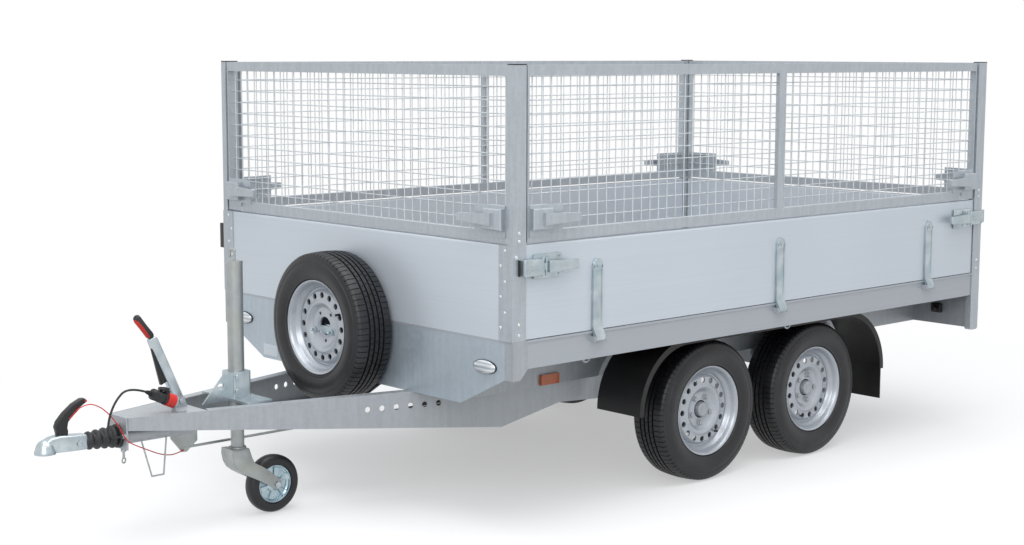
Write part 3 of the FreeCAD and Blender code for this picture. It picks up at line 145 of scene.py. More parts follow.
def draw_rings(rings):
    """Extrudes the selected ring through places given as (height, radius)."""
    height, radius = rings[0]
    for next_height, next_radius in rings[1:]:
        lift = (0, 0, next_height - height)
        bpy.ops.mesh.extrude_edges_move(TRANSFORM_OT_translate={"value": lift})
        share = next_radius / radius
        bpy.ops.transform.resize(value=(share, share, 1), center_override=(0, 0, next_height))
        height, radius = next_height, next_radius


def turned(rings, sides):
    """A closed lathe shape about Z from (height, radius) places; the last place joins the first."""
    height, radius = rings[0]
    piece = begin("circle", vertices=sides, radius=radius, location=(0, 0, height))
    apply_place()
    edit(piece)
    draw_rings(rings + rings[:1])
    bpy.ops.mesh.select_all(action="SELECT")
    bpy.ops.mesh.remove_doubles(threshold=MERGE_DISTANCE)
    bpy.ops.mesh.normals_make_consistent(inside=False)
    leave()
    return piece


def capped(rings, sides):
    """A solid lathe shape about Z from (height, radius) places, flat at both ends."""
    height, radius = rings[0]
    piece = begin("circle", vertices=sides, radius=radius, location=(0, 0, height), fill_type="NGON")
    apply_place()
    edit(piece)
    draw_rings(rings)
    bpy.ops.mesh.edge_face_add()
    bpy.ops.mesh.select_all(action="SELECT")
    bpy.ops.mesh.normals_make_consistent(inside=False)
    leave()
    return piece


# %% Heads and nuts of bolts
def hexagon(radius, height, foot, top, start=0.0):
    """A six-sided head or nut up Z, with a chamfer to a smaller radius at its foot and top."""
    edge = 0.001
    return capped([(start, foot), (start + edge, radius), (start + height - edge, radius),
                   (start + height, top)], 6)


# %% Modifiers, copies, joining, smooth shading
def modify(piece, kind, **settings):
    """Adds a modifier with its settings and applies it."""
    only(piece)
    modifier = piece.modifiers.new(kind.lower(), kind)
    for name, value in settings.items():
        setattr(modifier, name, value)
    bpy.ops.object.modifier_apply(modifier=modifier.name)


def copy_to(piece, place):
    """A copy with its own mesh, put in place by a matrix."""
    made = piece.copy()
    made.data = piece.data.copy()
    made.data.transform(place)
    if place.determinant() < 0:
        made.data.flip_normals()
    bpy.context.scene.collection.objects.link(made)
    return made


def join(pieces):
    """Joins several objects into the first."""
    bpy.ops.object.select_all(action="DESELECT")
    for piece in pieces:
        piece.select_set(True)
    bpy.context.view_layer.objects.active = pieces[0]
    if len(pieces) > 1:
        bpy.ops.object.join()
    return pieces[0]


def smooth(piece, degrees=30):
    only(piece)
    bpy.ops.object.shade_smooth_by_angle(angle=math.radians(degrees))


def discard(piece):
    bpy.data.objects.remove(piece)


# %% Blocks with rounded edges, and plates traced from the side
def block(lowest, highest, bevel=0.001, segments=2):
    """A box between two corners, with every edge rounded."""
    lowest, highest = Vector(lowest), Vector(highest)
    piece = begin("cube", size=1, location=(lowest + highest) / 2, scale=highest - lowest)
    apply_place()
    modify(piece, "BEVEL", width=bevel, segments=segments, limit_method="ANGLE")
    return piece


def traced(outline, half):
    """A plate across Y with an outline of (x, z) places: one vertex, drawn out from place to place."""
    piece = begin("plane", size=0.001)
    edit(piece, "VERT")
    bpy.ops.mesh.merge(type="CENTER")
    here = Vector((0, 0, 0))
    for index, (x, z) in enumerate(outline):
        there = Vector((x, -half, z))
        if index == 0:
            bpy.ops.transform.translate(value=there)
        else:
            bpy.ops.mesh.extrude_vertices_move(TRANSFORM_OT_translate={"value": there - here})
        here = there
    bpy.ops.mesh.select_all(action="SELECT")
    bpy.ops.mesh.edge_face_add()
    bpy.ops.mesh.extrude_region_move(TRANSFORM_OT_translate={"value": (0, 2 * half, 0)})
    bpy.ops.mesh.select_all(action="SELECT")
    bpy.ops.mesh.normals_make_consistent(inside=False)
    leave()
    return piece


def soften(piece, width, segments=3):
    """Rounds the sharp edges of a traced plate, and leaves the shallow ones along its curves."""
    modify(piece, "BEVEL", width=width, segments=segments, limit_method="ANGLE", angle_limit=math.radians(50))


# %% Places, and repeats at several places
QUARTER = math.pi / 2


def moved(x, y, z):
    return Matrix.Translation((x, y, z))


def facing(direction):
    """The turn that points a piece's own Z along a direction."""
    return Vector(direction).to_track_quat("Z", "Y").to_matrix().to_4x4()


def placed(piece, place):
    """The piece itself, moved by a matrix."""
    made = copy_to(piece, place)
    discard(piece)
    return made


def repeated(pattern, places):
    """One object with a copy of the pattern at each place."""
    copies = [copy_to(pattern, place) for place in places]
    discard(pattern)
    return join(copies)


# %% Hand a finished piece over to the frame
def settle(piece, name, body, material, slot, *replaced):
    """Names a piece, gives it its finish, and lets it ride with its body."""
    only(piece)
    apply_place()
    piece.name = name
    piece.data.name = name
    piece.data.materials.clear()
    piece.data.materials.append(material)
    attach(piece, body)
    if replaced:
        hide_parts(*replaced)
    print(name, "has", len(piece.data.polygons), "faces")
    return piece


def low(node):
    return Vector(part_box(node)[0])


def high(node):
    return Vector(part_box(node)[1])


def middle(node):
    return (low(node) + high(node)) / 2


# %% The body's corners, and where each side stands
BODY_REAR = high("corner_posts").x
BODY_MIDDLE = (BODY_FRONT + BODY_REAR) / 2
SIDE_FACE = high("corner_posts").y
STANDS = {"front": (BODY_FRONT, 0, math.pi), "rear": (BODY_REAR, 0, 0),
          "right": (BODY_MIDDLE, SIDE_FACE, QUARTER), "left": (BODY_MIDDLE, -SIDE_FACE, -QUARTER)}


def on_side(side, piece_place=Matrix()):
    """Sets a place drawn on a wall across the tail, with its outer face at x = 0, on a side of the body."""
    x, y, turn = STANDS[side]
    return moved(x, y, 0) @ Matrix.Rotation(turn, 4, "Z") @ piece_place


print("body from", round(BODY_FRONT, 4), "to", round(BODY_REAR, 4), "half width", round(SIDE_FACE, 4))


# %% [markdown]
# ## Finishes
# Every finish is a node tree on the Principled shader. A tree reads Object coordinates, which
# are metres here, so a pattern 12 mm wide is a texture with scale 1 / 0.012. Colours are
# written as the hex values one would pick off a screen, and turned to linear light once.

# %% Colours as one picks them off a screen
def linear(hex_colour):
    """An sRGB hex colour as linear red, green, blue and alpha."""
    parts = [int(hex_colour[i:i + 2], 16) / 255 for i in (1, 3, 5)]
    return [p / 12.92 if p <= 0.04045 else ((p + 0.055) / 1.055) ** 2.4 for p in parts] + [1.0]


print("middle grey in linear light:", round(linear("#808080")[0], 3))


# %% Nodes, and a finish to start from
def add(tree, kind, inputs=None, **settings):
    """Adds one node. inputs maps a socket's name or number to a value or to another socket."""
    made = tree.nodes.new(kind)
    for name, value in settings.items():
        setattr(made, name, value)
    for name, value in (inputs or {}).items():
        if isinstance(value, bpy.types.NodeSocket):
            tree.links.new(value, made.inputs[name])
        else:
            made.inputs[name].default_value = value
    return made


def new_finish(name, colour, **sockets):
    """A material and its parts: the tree, the Principled shader and the Object coordinates."""
    material = bpy.data.materials.new(name)
    material.use_nodes = True
    tree = material.node_tree
    shader = tree.nodes["Principled BSDF"]
    shader.inputs["Base Color"].default_value = linear(colour)
    for socket, value in sockets.items():
        shader.inputs[socket.replace("_", " ")].default_value = value
    place = add(tree, "ShaderNodeTexCoord").outputs["Object"]
    return material, tree, shader, place


# %% Colours and values between two ends, and bumps
def blend_colours(tree, factor, first, second):
    """The colour between two hex colours or sockets, by a factor socket."""
    ends = {6: first, 7: second}
    inputs = {k: v if isinstance(v, bpy.types.NodeSocket) else linear(v) for k, v in ends.items()}
    return add(tree, "ShaderNodeMix", {0: factor, **inputs}, data_type="RGBA").outputs[2]


def between(tree, value, low_in, high_in, low_out=0.0, high_out=1.0):
    """A value moved from one range to another, held at its ends."""
    inputs = {"Value": value, "From Min": low_in, "From Max": high_in,
              "To Min": low_out, "To Max": high_out}
    return add(tree, "ShaderNodeMapRange", inputs).outputs["Result"]


def bump(tree, shader, height, distance, strength=1.0):
    inputs = {"Height": height, "Distance": distance, "Strength": strength}
    made = add(tree, "ShaderNodeBump", inputs)
    tree.links.new(made.outputs["Normal"], shader.inputs["Normal"])


# %% [markdown]
# ### Hot-dip galvanised steel
# Drawbar, members, posts and mesh frames are mild steel dipped in molten zinc. The zinc
# freezes in flat crystals about 12 mm across, each a slightly different grey. Lifting the part
# out of the bath leaves faint upright runs. Voronoi cells give the crystals, and a noise that
# is stretched in height gives the runs.

# %% Galvanised steel
def galvanised_steel(name, dark, light, roughness):
    crystal, grit = 0.012, 0.004
    run_width, run_length = 0.018, 0.16
    material, tree, shader, place = new_finish(name, light, Metallic=0.5, Roughness=roughness)
    cells = add(tree, "ShaderNodeTexVoronoi", {"Vector": place, "Scale": 1 / crystal})
    shade = add(tree, "ShaderNodeSeparateColor", {"Color": cells.outputs["Color"]}).outputs[0]
    squeeze = (1 / run_width, 1 / run_width, 1 / run_length)
    stretch = add(tree, "ShaderNodeMapping", {"Vector": place, "Scale": squeeze})
    runs = add(tree, "ShaderNodeTexNoise", {"Vector": stretch.outputs[0], "Scale": 1.0, "Detail": 4.0})
    wide = between(tree, runs.outputs["Fac"], 0.3, 0.7)
    mixed = add(tree, "ShaderNodeMix", {0: 0.6, 2: shade, 3: wide}).outputs[0]
    tree.links.new(blend_colours(tree, mixed, dark, light), shader.inputs["Base Color"])
    rough = between(tree, shade, 0.0, 1.0, roughness - 0.05, roughness + 0.07)
    tree.links.new(rough, shader.inputs["Roughness"])
    fine = add(tree, "ShaderNodeTexNoise", {"Vector": place, "Scale": 1 / grit, "Detail": 2.0})
    bump(tree, shader, fine.outputs["Fac"], 0.0002, 0.3)
    return material


drawbar_steel = galvanised_steel("galvanised_drawbar_steel", "#A0A5AA", "#B0B5B9", 0.46)
sheet_steel = galvanised_steel("galvanised_sheet_steel", "#ABB6BF", "#B7C2CB", 0.40)
post_steel = galvanised_steel("galvanised_post_steel", "#A9B0B6", "#BAC1C7", 0.40)
wire_steel = galvanised_steel("galvanised_wire_steel", "#C2C8CC", "#DCE2E6", 0.36)
print("steel finishes:", drawbar_steel.name, sheet_steel.name, post_steel.name, wire_steel.name)

# %% [markdown]
# ### Bright zinc plate
# Locks, straps, coupling head and jockey leg are electroplated with zinc and passivated. That
# is smoother than hot dipping, and the passivation leaves a cold, faintly blue-green film that
# varies softly over a hand's breadth. One noise shades it and a second one tints it. The jockey
# wheel's tubes are duller, its discs are passivated blue, and new rivets are brighter.

# %% Zinc plate
def zinc_plate(name, dark, light, tint, roughness):
    haze_width, film_width = 0.05, 0.09
    material, tree, shader, place = new_finish(name, light, Metallic=0.8, Roughness=roughness)
    haze = add(tree, "ShaderNodeTexNoise", {"Vector": place, "Scale": 1 / haze_width, "Detail": 6.0})
    film = add(tree, "ShaderNodeTexNoise", {"Vector": place, "Scale": 1 / film_width, "Detail": 2.0})
    patch = between(tree, haze.outputs["Fac"], 0.32, 0.68)
    shaded = blend_colours(tree, patch, dark, light)
    tinted = between(tree, film.outputs["Fac"], 0.45, 0.7, 0.0, 0.5)
    tree.links.new(blend_colours(tree, tinted, shaded, tint), shader.inputs["Base Color"])
    rough = between(tree, haze.outputs["Fac"], 0.3, 0.7, roughness + 0.08, roughness - 0.03)
    tree.links.new(rough, shader.inputs["Roughness"])
    return material


bright_zinc = zinc_plate("bright_zinc_plate", "#A7B2B7", "#C3CCD0", "#9DB2BA", 0.30)
dull_zinc = zinc_plate("dull_zinc_plate", "#9DA2A3", "#ADB1B2", "#A3A79D", 0.42)
rivet_zinc = zinc_plate("rivet_zinc_plate", "#CBD2D5", "#E2E7E9", "#C4D0D4", 0.26)
blue_zinc = zinc_plate("blue_passivated_zinc_plate", "#9DB2BB", "#C3D3DA", "#88AABB", 0.25)
print("zinc finishes:", bright_zinc.name, dull_zinc.name, rivet_zinc.name, blue_zinc.name)

# %% [markdown]
# ### Anodised aluminium
# The boards are hollow extruded planks, anodised to a silky pale grey. Extrusion leaves die
# lines along the length, a fraction of a millimetre apart. They are drawn 2 mm apart here,
# because finer ones wouldn't show, by noise that is squeezed in height only.

# %% Aluminium
def anodised_aluminium(name, dark, light):
    line, cloud = 0.002, 0.6
    material, tree, shader, place = new_finish(name, light, Metallic=0.35, Roughness=0.42)
    squeeze = add(tree, "ShaderNodeMapping", {"Vector": place, "Scale": (cloud, cloud, 1 / line)})
    lines = add(tree, "ShaderNodeTexNoise", {"Vector": squeeze.outputs[0], "Scale": 1.0, "Detail": 3.0})
    clouds = add(tree, "ShaderNodeTexNoise", {"Vector": place, "Scale": 1 / cloud, "Detail": 2.0})
    grain = between(tree, lines.outputs["Fac"], 0.3, 0.7)
    mixed = add(tree, "ShaderNodeMix", {0: 0.6, 2: grain, 3: clouds.outputs["Fac"]}).outputs[0]
    tree.links.new(blend_colours(tree, mixed, dark, light), shader.inputs["Base Color"])
    bump(tree, shader, lines.outputs["Fac"], 0.0002, 0.25)
    return material


board_aluminium = anodised_aluminium("anodised_board_aluminium", "#C5CDD5", "#D1D8E0")
rail_aluminium = anodised_aluminium("anodised_rail_aluminium", "#A6ABB1", "#B4B9BF")
print("aluminium finishes:", board_aluminium.name, rail_aluminium.name)

# %% [markdown]
# ### Tyre rubber
# Rubber with carbon black is nearly black, but its dust film scatters light, so it never
# looks quite black. One colour would look like paint, so a soft noise lays the film on in
# patches of a few centimetres, and a finer one of 3 mm gives the surface its grain.

# %% Rubber
def rubber(name, colour, dust, roughness):
    patch_width, grit = 0.07, 0.003
    material, tree, shader, place = new_finish(name, colour, Roughness=roughness, IOR=1.52)
    film = add(tree, "ShaderNodeTexNoise", {"Vector": place, "Scale": 1 / patch_width, "Detail": 6.0})
    patch = between(tree, film.outputs["Fac"], 0.42, 0.72)
    tree.links.new(blend_colours(tree, patch, colour, dust), shader.inputs["Base Color"])
    grain = add(tree, "ShaderNodeTexNoise", {"Vector": place, "Scale": 1 / grit, "Detail": 2.0})
    bump(tree, shader, grain.outputs["Fac"], 0.0003, 0.4)
    return material


tyre_rubber = rubber("carbon_black_tyre_rubber", "#0E0F13", "#1C1D23", 0.46)
soft_rubber = rubber("moulded_black_rubber", "#1E1F23", "#2F3035", 0.55)
cable_rubber = rubber("cable_sheath_rubber", "#18191B", "#26272A", 0.48)
print("rubber finishes:", tyre_rubber.name, soft_rubber.name, cable_rubber.name)

# %% [markdown]
# ### Silver wheel lacquer
# Steel rims are sprayed with a silver lacquer: aluminium flakes under a clear film. The
# flakes make it half metallic, and the film adds a soft coat. Real flakes are far too fine to
# show, so cells 1.5 mm wide stand for them, each a slightly different grey.

# %% Silver lacquer
def silver_lacquer():
    flake = 0.0015
    lacquer = {"Metallic": 0.45, "Roughness": 0.34, "Coat_Weight": 0.25, "Coat_Roughness": 0.2}
    material, tree, shader, place = new_finish("silver_wheel_lacquer", "#B4B9C0", **lacquer)
    flakes = add(tree, "ShaderNodeTexVoronoi", {"Vector": place, "Scale": 1 / flake})
    shade = add(tree, "ShaderNodeSeparateColor", {"Color": flakes.outputs["Color"]}).outputs[0]
    tree.links.new(blend_colours(tree, shade, "#A9AEB5", "#BBC0C7"), shader.inputs["Base Color"])
    return material


wheel_silver = silver_lacquer()
print("wheel finish:", wheel_silver.name)

# %% [markdown]
# ### Moulded plastics
# Mudguards are black polyethylene with a fine leather-like grain. Caps, plug, release lever and
# the parking socket are nylon in black and red, which is a little glossier. The cells of a
# Voronoi texture raise the surface. They are drawn 2 mm wide, because the real grain would be too
# fine to show. A soft noise varies the gloss, as handling does.

# %% Plastics
def moulded_plastic(name, colour, roughness, grain):
    wear_width = 0.12
    material, tree, shader, place = new_finish(name, colour, Roughness=roughness, IOR=1.49)
    texture = add(tree, "ShaderNodeTexVoronoi", {"Vector": place, "Scale": 1 / grain})
    bump(tree, shader, texture.outputs["Distance"], 0.0003, 0.35)
    wear = add(tree, "ShaderNodeTexNoise", {"Vector": place, "Scale": 1 / wear_width, "Detail": 5.0})
    rough = between(tree, wear.outputs["Fac"], 0.3, 0.7, roughness - 0.06, roughness + 0.1)
    tree.links.new(rough, shader.inputs["Roughness"])
    return material


guard_plastic = moulded_plastic("black_polyethylene", "#0A0A0D", 0.50, 0.0025)
black_nylon = moulded_plastic("black_nylon", "#17181A", 0.40, 0.002)
red_nylon = moulded_plastic("red_nylon", "#CC2A22", 0.36, 0.002)
print("plastic finishes:", guard_plastic.name, black_nylon.name, red_nylon.name)

# %% [markdown]
# ### Lenses
# Reflectors and lamp lenses are clear or coloured acrylic over a pattern of small prisms.
# Real glass would need light from behind it to look right, so a lens is drawn as a surface
# with the prisms as a bump a few millimetres wide, seen through a glossy coat. The front lamps
# are clear with level ribs.

# %% Lenses
def lens(name, colour, pitch):
    material, tree, shader, place = new_finish(
        name, colour, Roughness=0.22, IOR=1.49, Coat_Weight=0.6, Coat_Roughness=0.08)
    prisms = add(tree, "ShaderNodeTexVoronoi", {"Vector": place, "Scale": 1 / pitch}, distance="CHEBYCHEV")
    # Each prism cell darkens towards its edges, up to about a third of the way to dark brown: painted shade
    # for the prisms' play of light.
    shade = between(tree, prisms.outputs["Distance"], 0.0, 0.8, 0.0, 0.35)
    tree.links.new(blend_colours(tree, shade, colour, "#3A1A10"), shader.inputs["Base Color"])
    bump(tree, shader, prisms.outputs["Distance"], 0.001, 0.4)
    return material


orange_lens = lens("orange_acrylic", "#D8641C", 0.004)
red_lens = lens("red_acrylic", "#A5161A", 0.005)
print("coloured lenses:", orange_lens.name, red_lens.name)


# %% Clear lens of the front lamps
def clear_lens():
    """A wave texture repeats about three times in each unit, so a unit of 50 mm gives 16 mm ribs."""
    band = 0.05
    gloss = {"Roughness": 0.12, "IOR": 1.49, "Metallic": 0.3, "Coat_Weight": 0.7, "Coat_Roughness": 0.05}
    material, tree, shader, place = new_finish("clear_acrylic", "#D9DDE1", **gloss)
    ribs = add(tree, "ShaderNodeTexWave", {"Vector": place, "Scale": 1 / band}, bands_direction="Z")
    bump(tree, shader, ribs.outputs["Fac"], 0.001, 0.5)
    # The colour follows the ribs, lighter on their crests and darker in their troughs: painted highlight and
    # shade on the ribs.
    shade = blend_colours(tree, ribs.outputs["Fac"], "#AEB6BC", "#E4E8EB")
    tree.links.new(shade, shader.inputs["Base Color"])
    return material


lamp_glass = clear_lens()
print("clear lens:", lamp_glass.name)

# %% [markdown]
# ### Film-faced plywood
# The deck is plywood under a dark brown phenolic film with a pressed wire pattern against
# slipping. The pattern is a grid of small raised lozenges about 6 mm apart: a checker texture,
# turned by an eighth of a turn, used as a bump. Clouds of a lighter brown show where it is worn.

# %% Plywood deck
def deck_plywood():
    lozenge, cloud = 0.006, 0.35
    material, tree, shader, place = new_finish("phenolic_film_plywood", "#4A3A31", Roughness=0.5)
    turned_place = add(tree, "ShaderNodeMapping", {"Vector": place, "Rotation": (0, 0, math.pi / 4),
                                                   "Scale": (1 / lozenge, 1 / lozenge, 1)})
    grid = add(tree, "ShaderNodeTexChecker", {"Vector": turned_place.outputs[0], "Scale": 1.0})
    clouds = add(tree, "ShaderNodeTexNoise", {"Vector": place, "Scale": 1 / cloud, "Detail": 6.0})
    wear = between(tree, clouds.outputs["Fac"], 0.35, 0.7)
    tree.links.new(blend_colours(tree, wear, "#453730", "#6B5A4E"), shader.inputs["Base Color"])
    bump(tree, shader, grid.outputs["Fac"], 0.0006, 0.5)
    return material


deck_film = deck_plywood()
print("deck finish:", deck_film.name)

# %% [markdown]
# ## Finishes on the frame's own parts
# Folded and extruded parts already have their true shape, so they keep it and only get a
# finish. Each material goes into the part's first slot. A list for each finish shows at a glance
# what is made of what. Some of the parts are replaced by finer pieces further down, which bring
# their own finish.

# %% Give the frame's parts their finishes
FINISHES = {
    drawbar_steel: ["drawbar_beams", "chassis_members", "cross_members", "overrun_housing", "axle_front",
                    "axle_rear", "corner_castings", "rear_valance"],
    sheet_steel: ["apron"],
    post_steel: ["corner_posts", "mesh_frame_left", "mesh_frame_right", "mesh_frame_front",
                 "mesh_frame_rear"],
    bright_zinc: ["coupling_head", "side_board_left_fittings", "side_board_right_fittings",
                  "tailboard_fittings", "handbrake_lever", "spare_bracket", "jockey_clamp"],
    dull_zinc: ["jockey_outer_tube", "jockey_leg", "jockey_fork", "brake_linkage"],
    blue_zinc: ["jockey_rim"],
    board_aluminium: ["headboard", "side_board_left", "side_board_right", "tailboard"],
    rail_aluminium: ["platform_rails"],
    tyre_rubber: ["jockey_tyre"],
    wheel_silver: ["wheel_front_left", "wheel_front_right", "wheel_rear_left", "wheel_rear_right",
                   "spare_rim"],
    guard_plastic: ["mudguard_left", "mudguard_right"],
    black_nylon: ["post_caps", "plug", "coupling_lever"],
    red_nylon: ["parking_socket"],
    red_lens: ["tail_lamps"],
    lamp_glass: ["front_lamps"],
    orange_lens: ["side_reflectors"],
    deck_film: ["floor"],
}

for material, names in FINISHES.items():
    for name in names:
        mesh = nodes[name].data
        mesh.materials.clear()
        mesh.materials.append(material)
print("finished", sum(len(names) for names in FINISHES.values()), "parts")

# %% [markdown]
# ## Cables
# Two free cables hang at the coupling: the lighting cable, which arches from the parked plug
# down to its gland, and the thin red breakaway cable, which runs from the release handle past
# the bellows to the brake. Each is a smooth NURBS curve with a round section: such a curve
# stays inside the bends of its points, as a stiff cable does, and needs only a few of them.

# %% Routes of the cables, as (behind the point of the beams, side, height)
POINT = BODY_FRONT - 1.038
LEAD_DIAMETER = 0.008
LEAD_LENGTH = 0.318
TRIP_DIAMETER = 0.004
TRIP_LENGTH = 0.590
PLUG_TILT = math.radians(24)
PLUG_TURN = Matrix.Rotation(PLUG_TILT - QUARTER, 4, "Y")
PLUG_PLACE = moved(POINT + 0.146, -0.070, 0.512) @ PLUG_TURN
PLUG_REACH = 0.0866
PLUG_END = PLUG_PLACE @ Vector((0, 0, PLUG_REACH))
LEAD_ROUTE = [
    (PLUG_END.x - POINT, -0.070, PLUG_END.z),
    (-0.002, -0.068, 0.573),
    (-0.052, -0.066, 0.530),
    (-0.080, -0.064, 0.464),
    (-0.076, -0.050, 0.396),
    (-0.0203, -0.050, 0.396),
]
TRIP_ROUTE = [
    (-0.174, -0.0153, 0.506),
    (-0.142, -0.030, 0.530),
    (-0.098, -0.042, 0.514),
    (-0.060, -0.049, 0.476),
    (-0.032, -0.060, 0.430),
    (-0.010, -0.066, 0.380),
    (0.038, -0.056, 0.354),
    (0.088, -0.040, 0.330),
    (0.138, -0.020, 0.306),
    (0.188, 0.004, 0.288),
    (0.238, 0.030, 0.278),
    (0.288, 0.0497, 0.283),
]
print("points along the cables:", len(LEAD_ROUTE), "and", len(TRIP_ROUTE))


# %% Cable
def cable(name, route, diameter):
    curve = bpy.data.curves.new(name, "CURVE")
    curve.dimensions = "3D"
    curve.bevel_depth = diameter / 2
    curve.bevel_resolution = 4
    curve.resolution_u = 12
    curve.use_fill_caps = True
    spline = curve.splines.new("NURBS")
    spline.points.add(len(route) - 1)
    for point, (x, y, z) in zip(spline.points, route):
        point.co = (POINT + x, y, z, 1)
    spline.order_u = 3
    spline.use_endpoint_u = True
    piece = bpy.data.objects.new(name, curve)
    bpy.context.scene.collection.objects.link(piece)
    return piece


def lay_cable(name, route, diameter, material, node, length):
    piece = cable(name, route, diameter)
    piece.data.materials.append(material)
    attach(piece, "chassis")
    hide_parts(node)
    print(name, "is", round(1000 * length), "mm long and", round(1000 * diameter), "mm thick")


lay_cable("lighting_lead", LEAD_ROUTE, LEAD_DIAMETER, cable_rubber, "lighting_cable",
          LEAD_LENGTH)
lay_cable("breakaway_wire", TRIP_ROUTE, TRIP_DIAMETER, red_nylon, "breakaway_cable",
          TRIP_LENGTH)

# %% [markdown]
# ## Tyres
# A trailer tyre has a closed tread with four grooves round it and fine cuts across its
# shoulders, and a side that bulges and then pulls in to the rim. It is drawn as a lathe
# shape, with rings where the grooves start and end. The grooves are then faces that are
# pushed inwards. A cut is narrower than a face, so its faces are inset first, and what is left
# between the insets is pushed in. One tyre is modelled about Z and copied to each wheel.

# %% The tyre's sizes, from the frame
tyre_low, tyre_high = low("tyre_front_left"), high("tyre_front_left")
TYRE_RADIUS = (tyre_high.z - tyre_low.z) / 2
TYRE_HALF = (tyre_high.y - tyre_low.y) / 2
RIM_RADIUS = (high("spare_rim").z - low("spare_rim").z) / 2
RIM_HALF = (high("spare_rim").x - low("spare_rim").x) / 2
TYRE_SIDES = 240
SIDES_PER_CUT = 3
TREAD_HALF = 0.066
GROOVE = 0.008
GROOVE_DEPTH = 0.007
GROOVE_PLACES = (-0.033, -0.011, 0.011, 0.033)
CUT_BORDER = 0.0022
CUT_DEPTH = 0.005
print("tyre radius and width:", round(TYRE_RADIUS, 3), round(2 * TYRE_HALF, 3))


# %% Tyre profile
def tread_heights():
    """Where the tread's rings lie across its width."""
    heights = [-TREAD_HALF]
    for place in GROOVE_PLACES:
        heights += [place - GROOVE / 2, place + GROOVE / 2]
    return heights + [TREAD_HALF]


def tyre_side():
    """The side from the tread's edge to the bead, with a raised line below the shoulder."""
    line = TYRE_RADIUS - 0.034
    return [
        (TREAD_HALF + 0.008, TYRE_RADIUS - 0.008),
        (TREAD_HALF + 0.014, TYRE_RADIUS - 0.018),
        (TREAD_HALF + 0.017, line + 0.002),
        (TREAD_HALF + 0.0185, line + 0.001),
        (TREAD_HALF + 0.0185, line - 0.001),
        (TREAD_HALF + 0.0178, line - 0.002),
        (TYRE_HALF - 0.001, TYRE_RADIUS - 0.048),
        (TYRE_HALF, TYRE_RADIUS - 0.060),
        (TYRE_HALF - 0.002, TYRE_RADIUS - 0.074),
        (TYRE_HALF - 0.006, TYRE_RADIUS - 0.088),
        (TYRE_HALF - 0.009, RIM_RADIUS + 0.012),
        (TYRE_HALF - 0.0085, RIM_RADIUS + 0.010),
        (TYRE_HALF - 0.010, RIM_RADIUS + 0.005),
        (TYRE_HALF - 0.014, RIM_RADIUS + 0.002),
        (TYRE_HALF - 0.022, RIM_RADIUS + 0.001),
    ]


# %% Tyre
def in_groove(height):
    return any(abs(height - place) < GROOVE / 2 for place in GROOVE_PLACES)


def sector(centre):
    """The number of the side, counted round the tyre, that a face lies on."""
    return math.floor(math.atan2(centre.y, centre.x) / (2 * math.pi / TYRE_SIDES))


def press_cuts(piece, chosen):
    """Insets the chosen faces of the tread and pushes what is left inwards."""
    far = TYRE_RADIUS - 0.014
    count = pick(piece, lambda c, n: math.hypot(c.x, c.y) > far and not in_groove(c.z) and chosen(c))
    bpy.ops.mesh.inset(thickness=CUT_BORDER, depth=0)
    bpy.ops.mesh.extrude_region_shrink_fatten(TRANSFORM_OT_shrink_fatten={"value": -CUT_DEPTH})
    return count


def tyre():
    crown = 0.004
    tread = [(h, TYRE_RADIUS - crown * (h / TREAD_HALF) ** 2) for h in tread_heights()]
    side = tyre_side()
    piece = turned([(-h, r) for h, r in reversed(side)] + tread + side, TYRE_SIDES)
    edit(piece)
    shoulder, middle_rib = GROOVE_PLACES[-1], GROOVE_PLACES[-2]
    press_cuts(piece, lambda c: abs(c.z) > shoulder and sector(c) % SIDES_PER_CUT == 0)
    press_cuts(piece, lambda c: middle_rib < abs(c.z) < shoulder and sector(c) % SIDES_PER_CUT == 1)
    press_cuts(piece, lambda c: abs(c.z) < middle_rib and sector(c) % (2 * SIDES_PER_CUT) == 2)
    pick(piece, lambda c, n: in_groove(c.z) and math.hypot(c.x, c.y) > TYRE_RADIUS - 0.004)
    bpy.ops.mesh.extrude_region_shrink_fatten(TRANSFORM_OT_shrink_fatten={"value": -GROOVE_DEPTH})
    leave()
    smooth(piece, 35)
    return piece


pattern_tyre = tyre()
print("tyre faces:", len(pattern_tyre.data.polygons))

# %% [markdown]
# ## Rims
# A steel rim is a rolled barrel with a pressed disc in it. The disc has a ring of sixteen
# round holes, a raised ring that stiffens it, and a dish in the middle with five bolts and a
# dust cap. The disc and barrel are one lathe shape with a thin wall, and the holes are cut
# with a boolean, as a press would punch them.

# %% The rim's sizes
RIM_SIDES = 96
HOLE_COUNT = 16
HOLE_RADIUS = 0.012
HOLE_CIRCLE = 0.122
BOLT_COUNT = 5
BOLT_CIRCLE = 0.057
BOLT_START = math.radians(-18)
CENTRE_HOLE = 0.0360
DISH_FACE = 0.026
DISC_FACE = 0.042
print("vents and bolts in a rim:", HOLE_COUNT, "and", BOLT_COUNT)


def round_circle(radius, count, start=0.0):
    """Places evenly round a circle, as (x, y)."""
    angles = [start + 2 * math.pi * index / count for index in range(count)]
    return [(radius * math.cos(angle), radius * math.sin(angle)) for angle in angles]


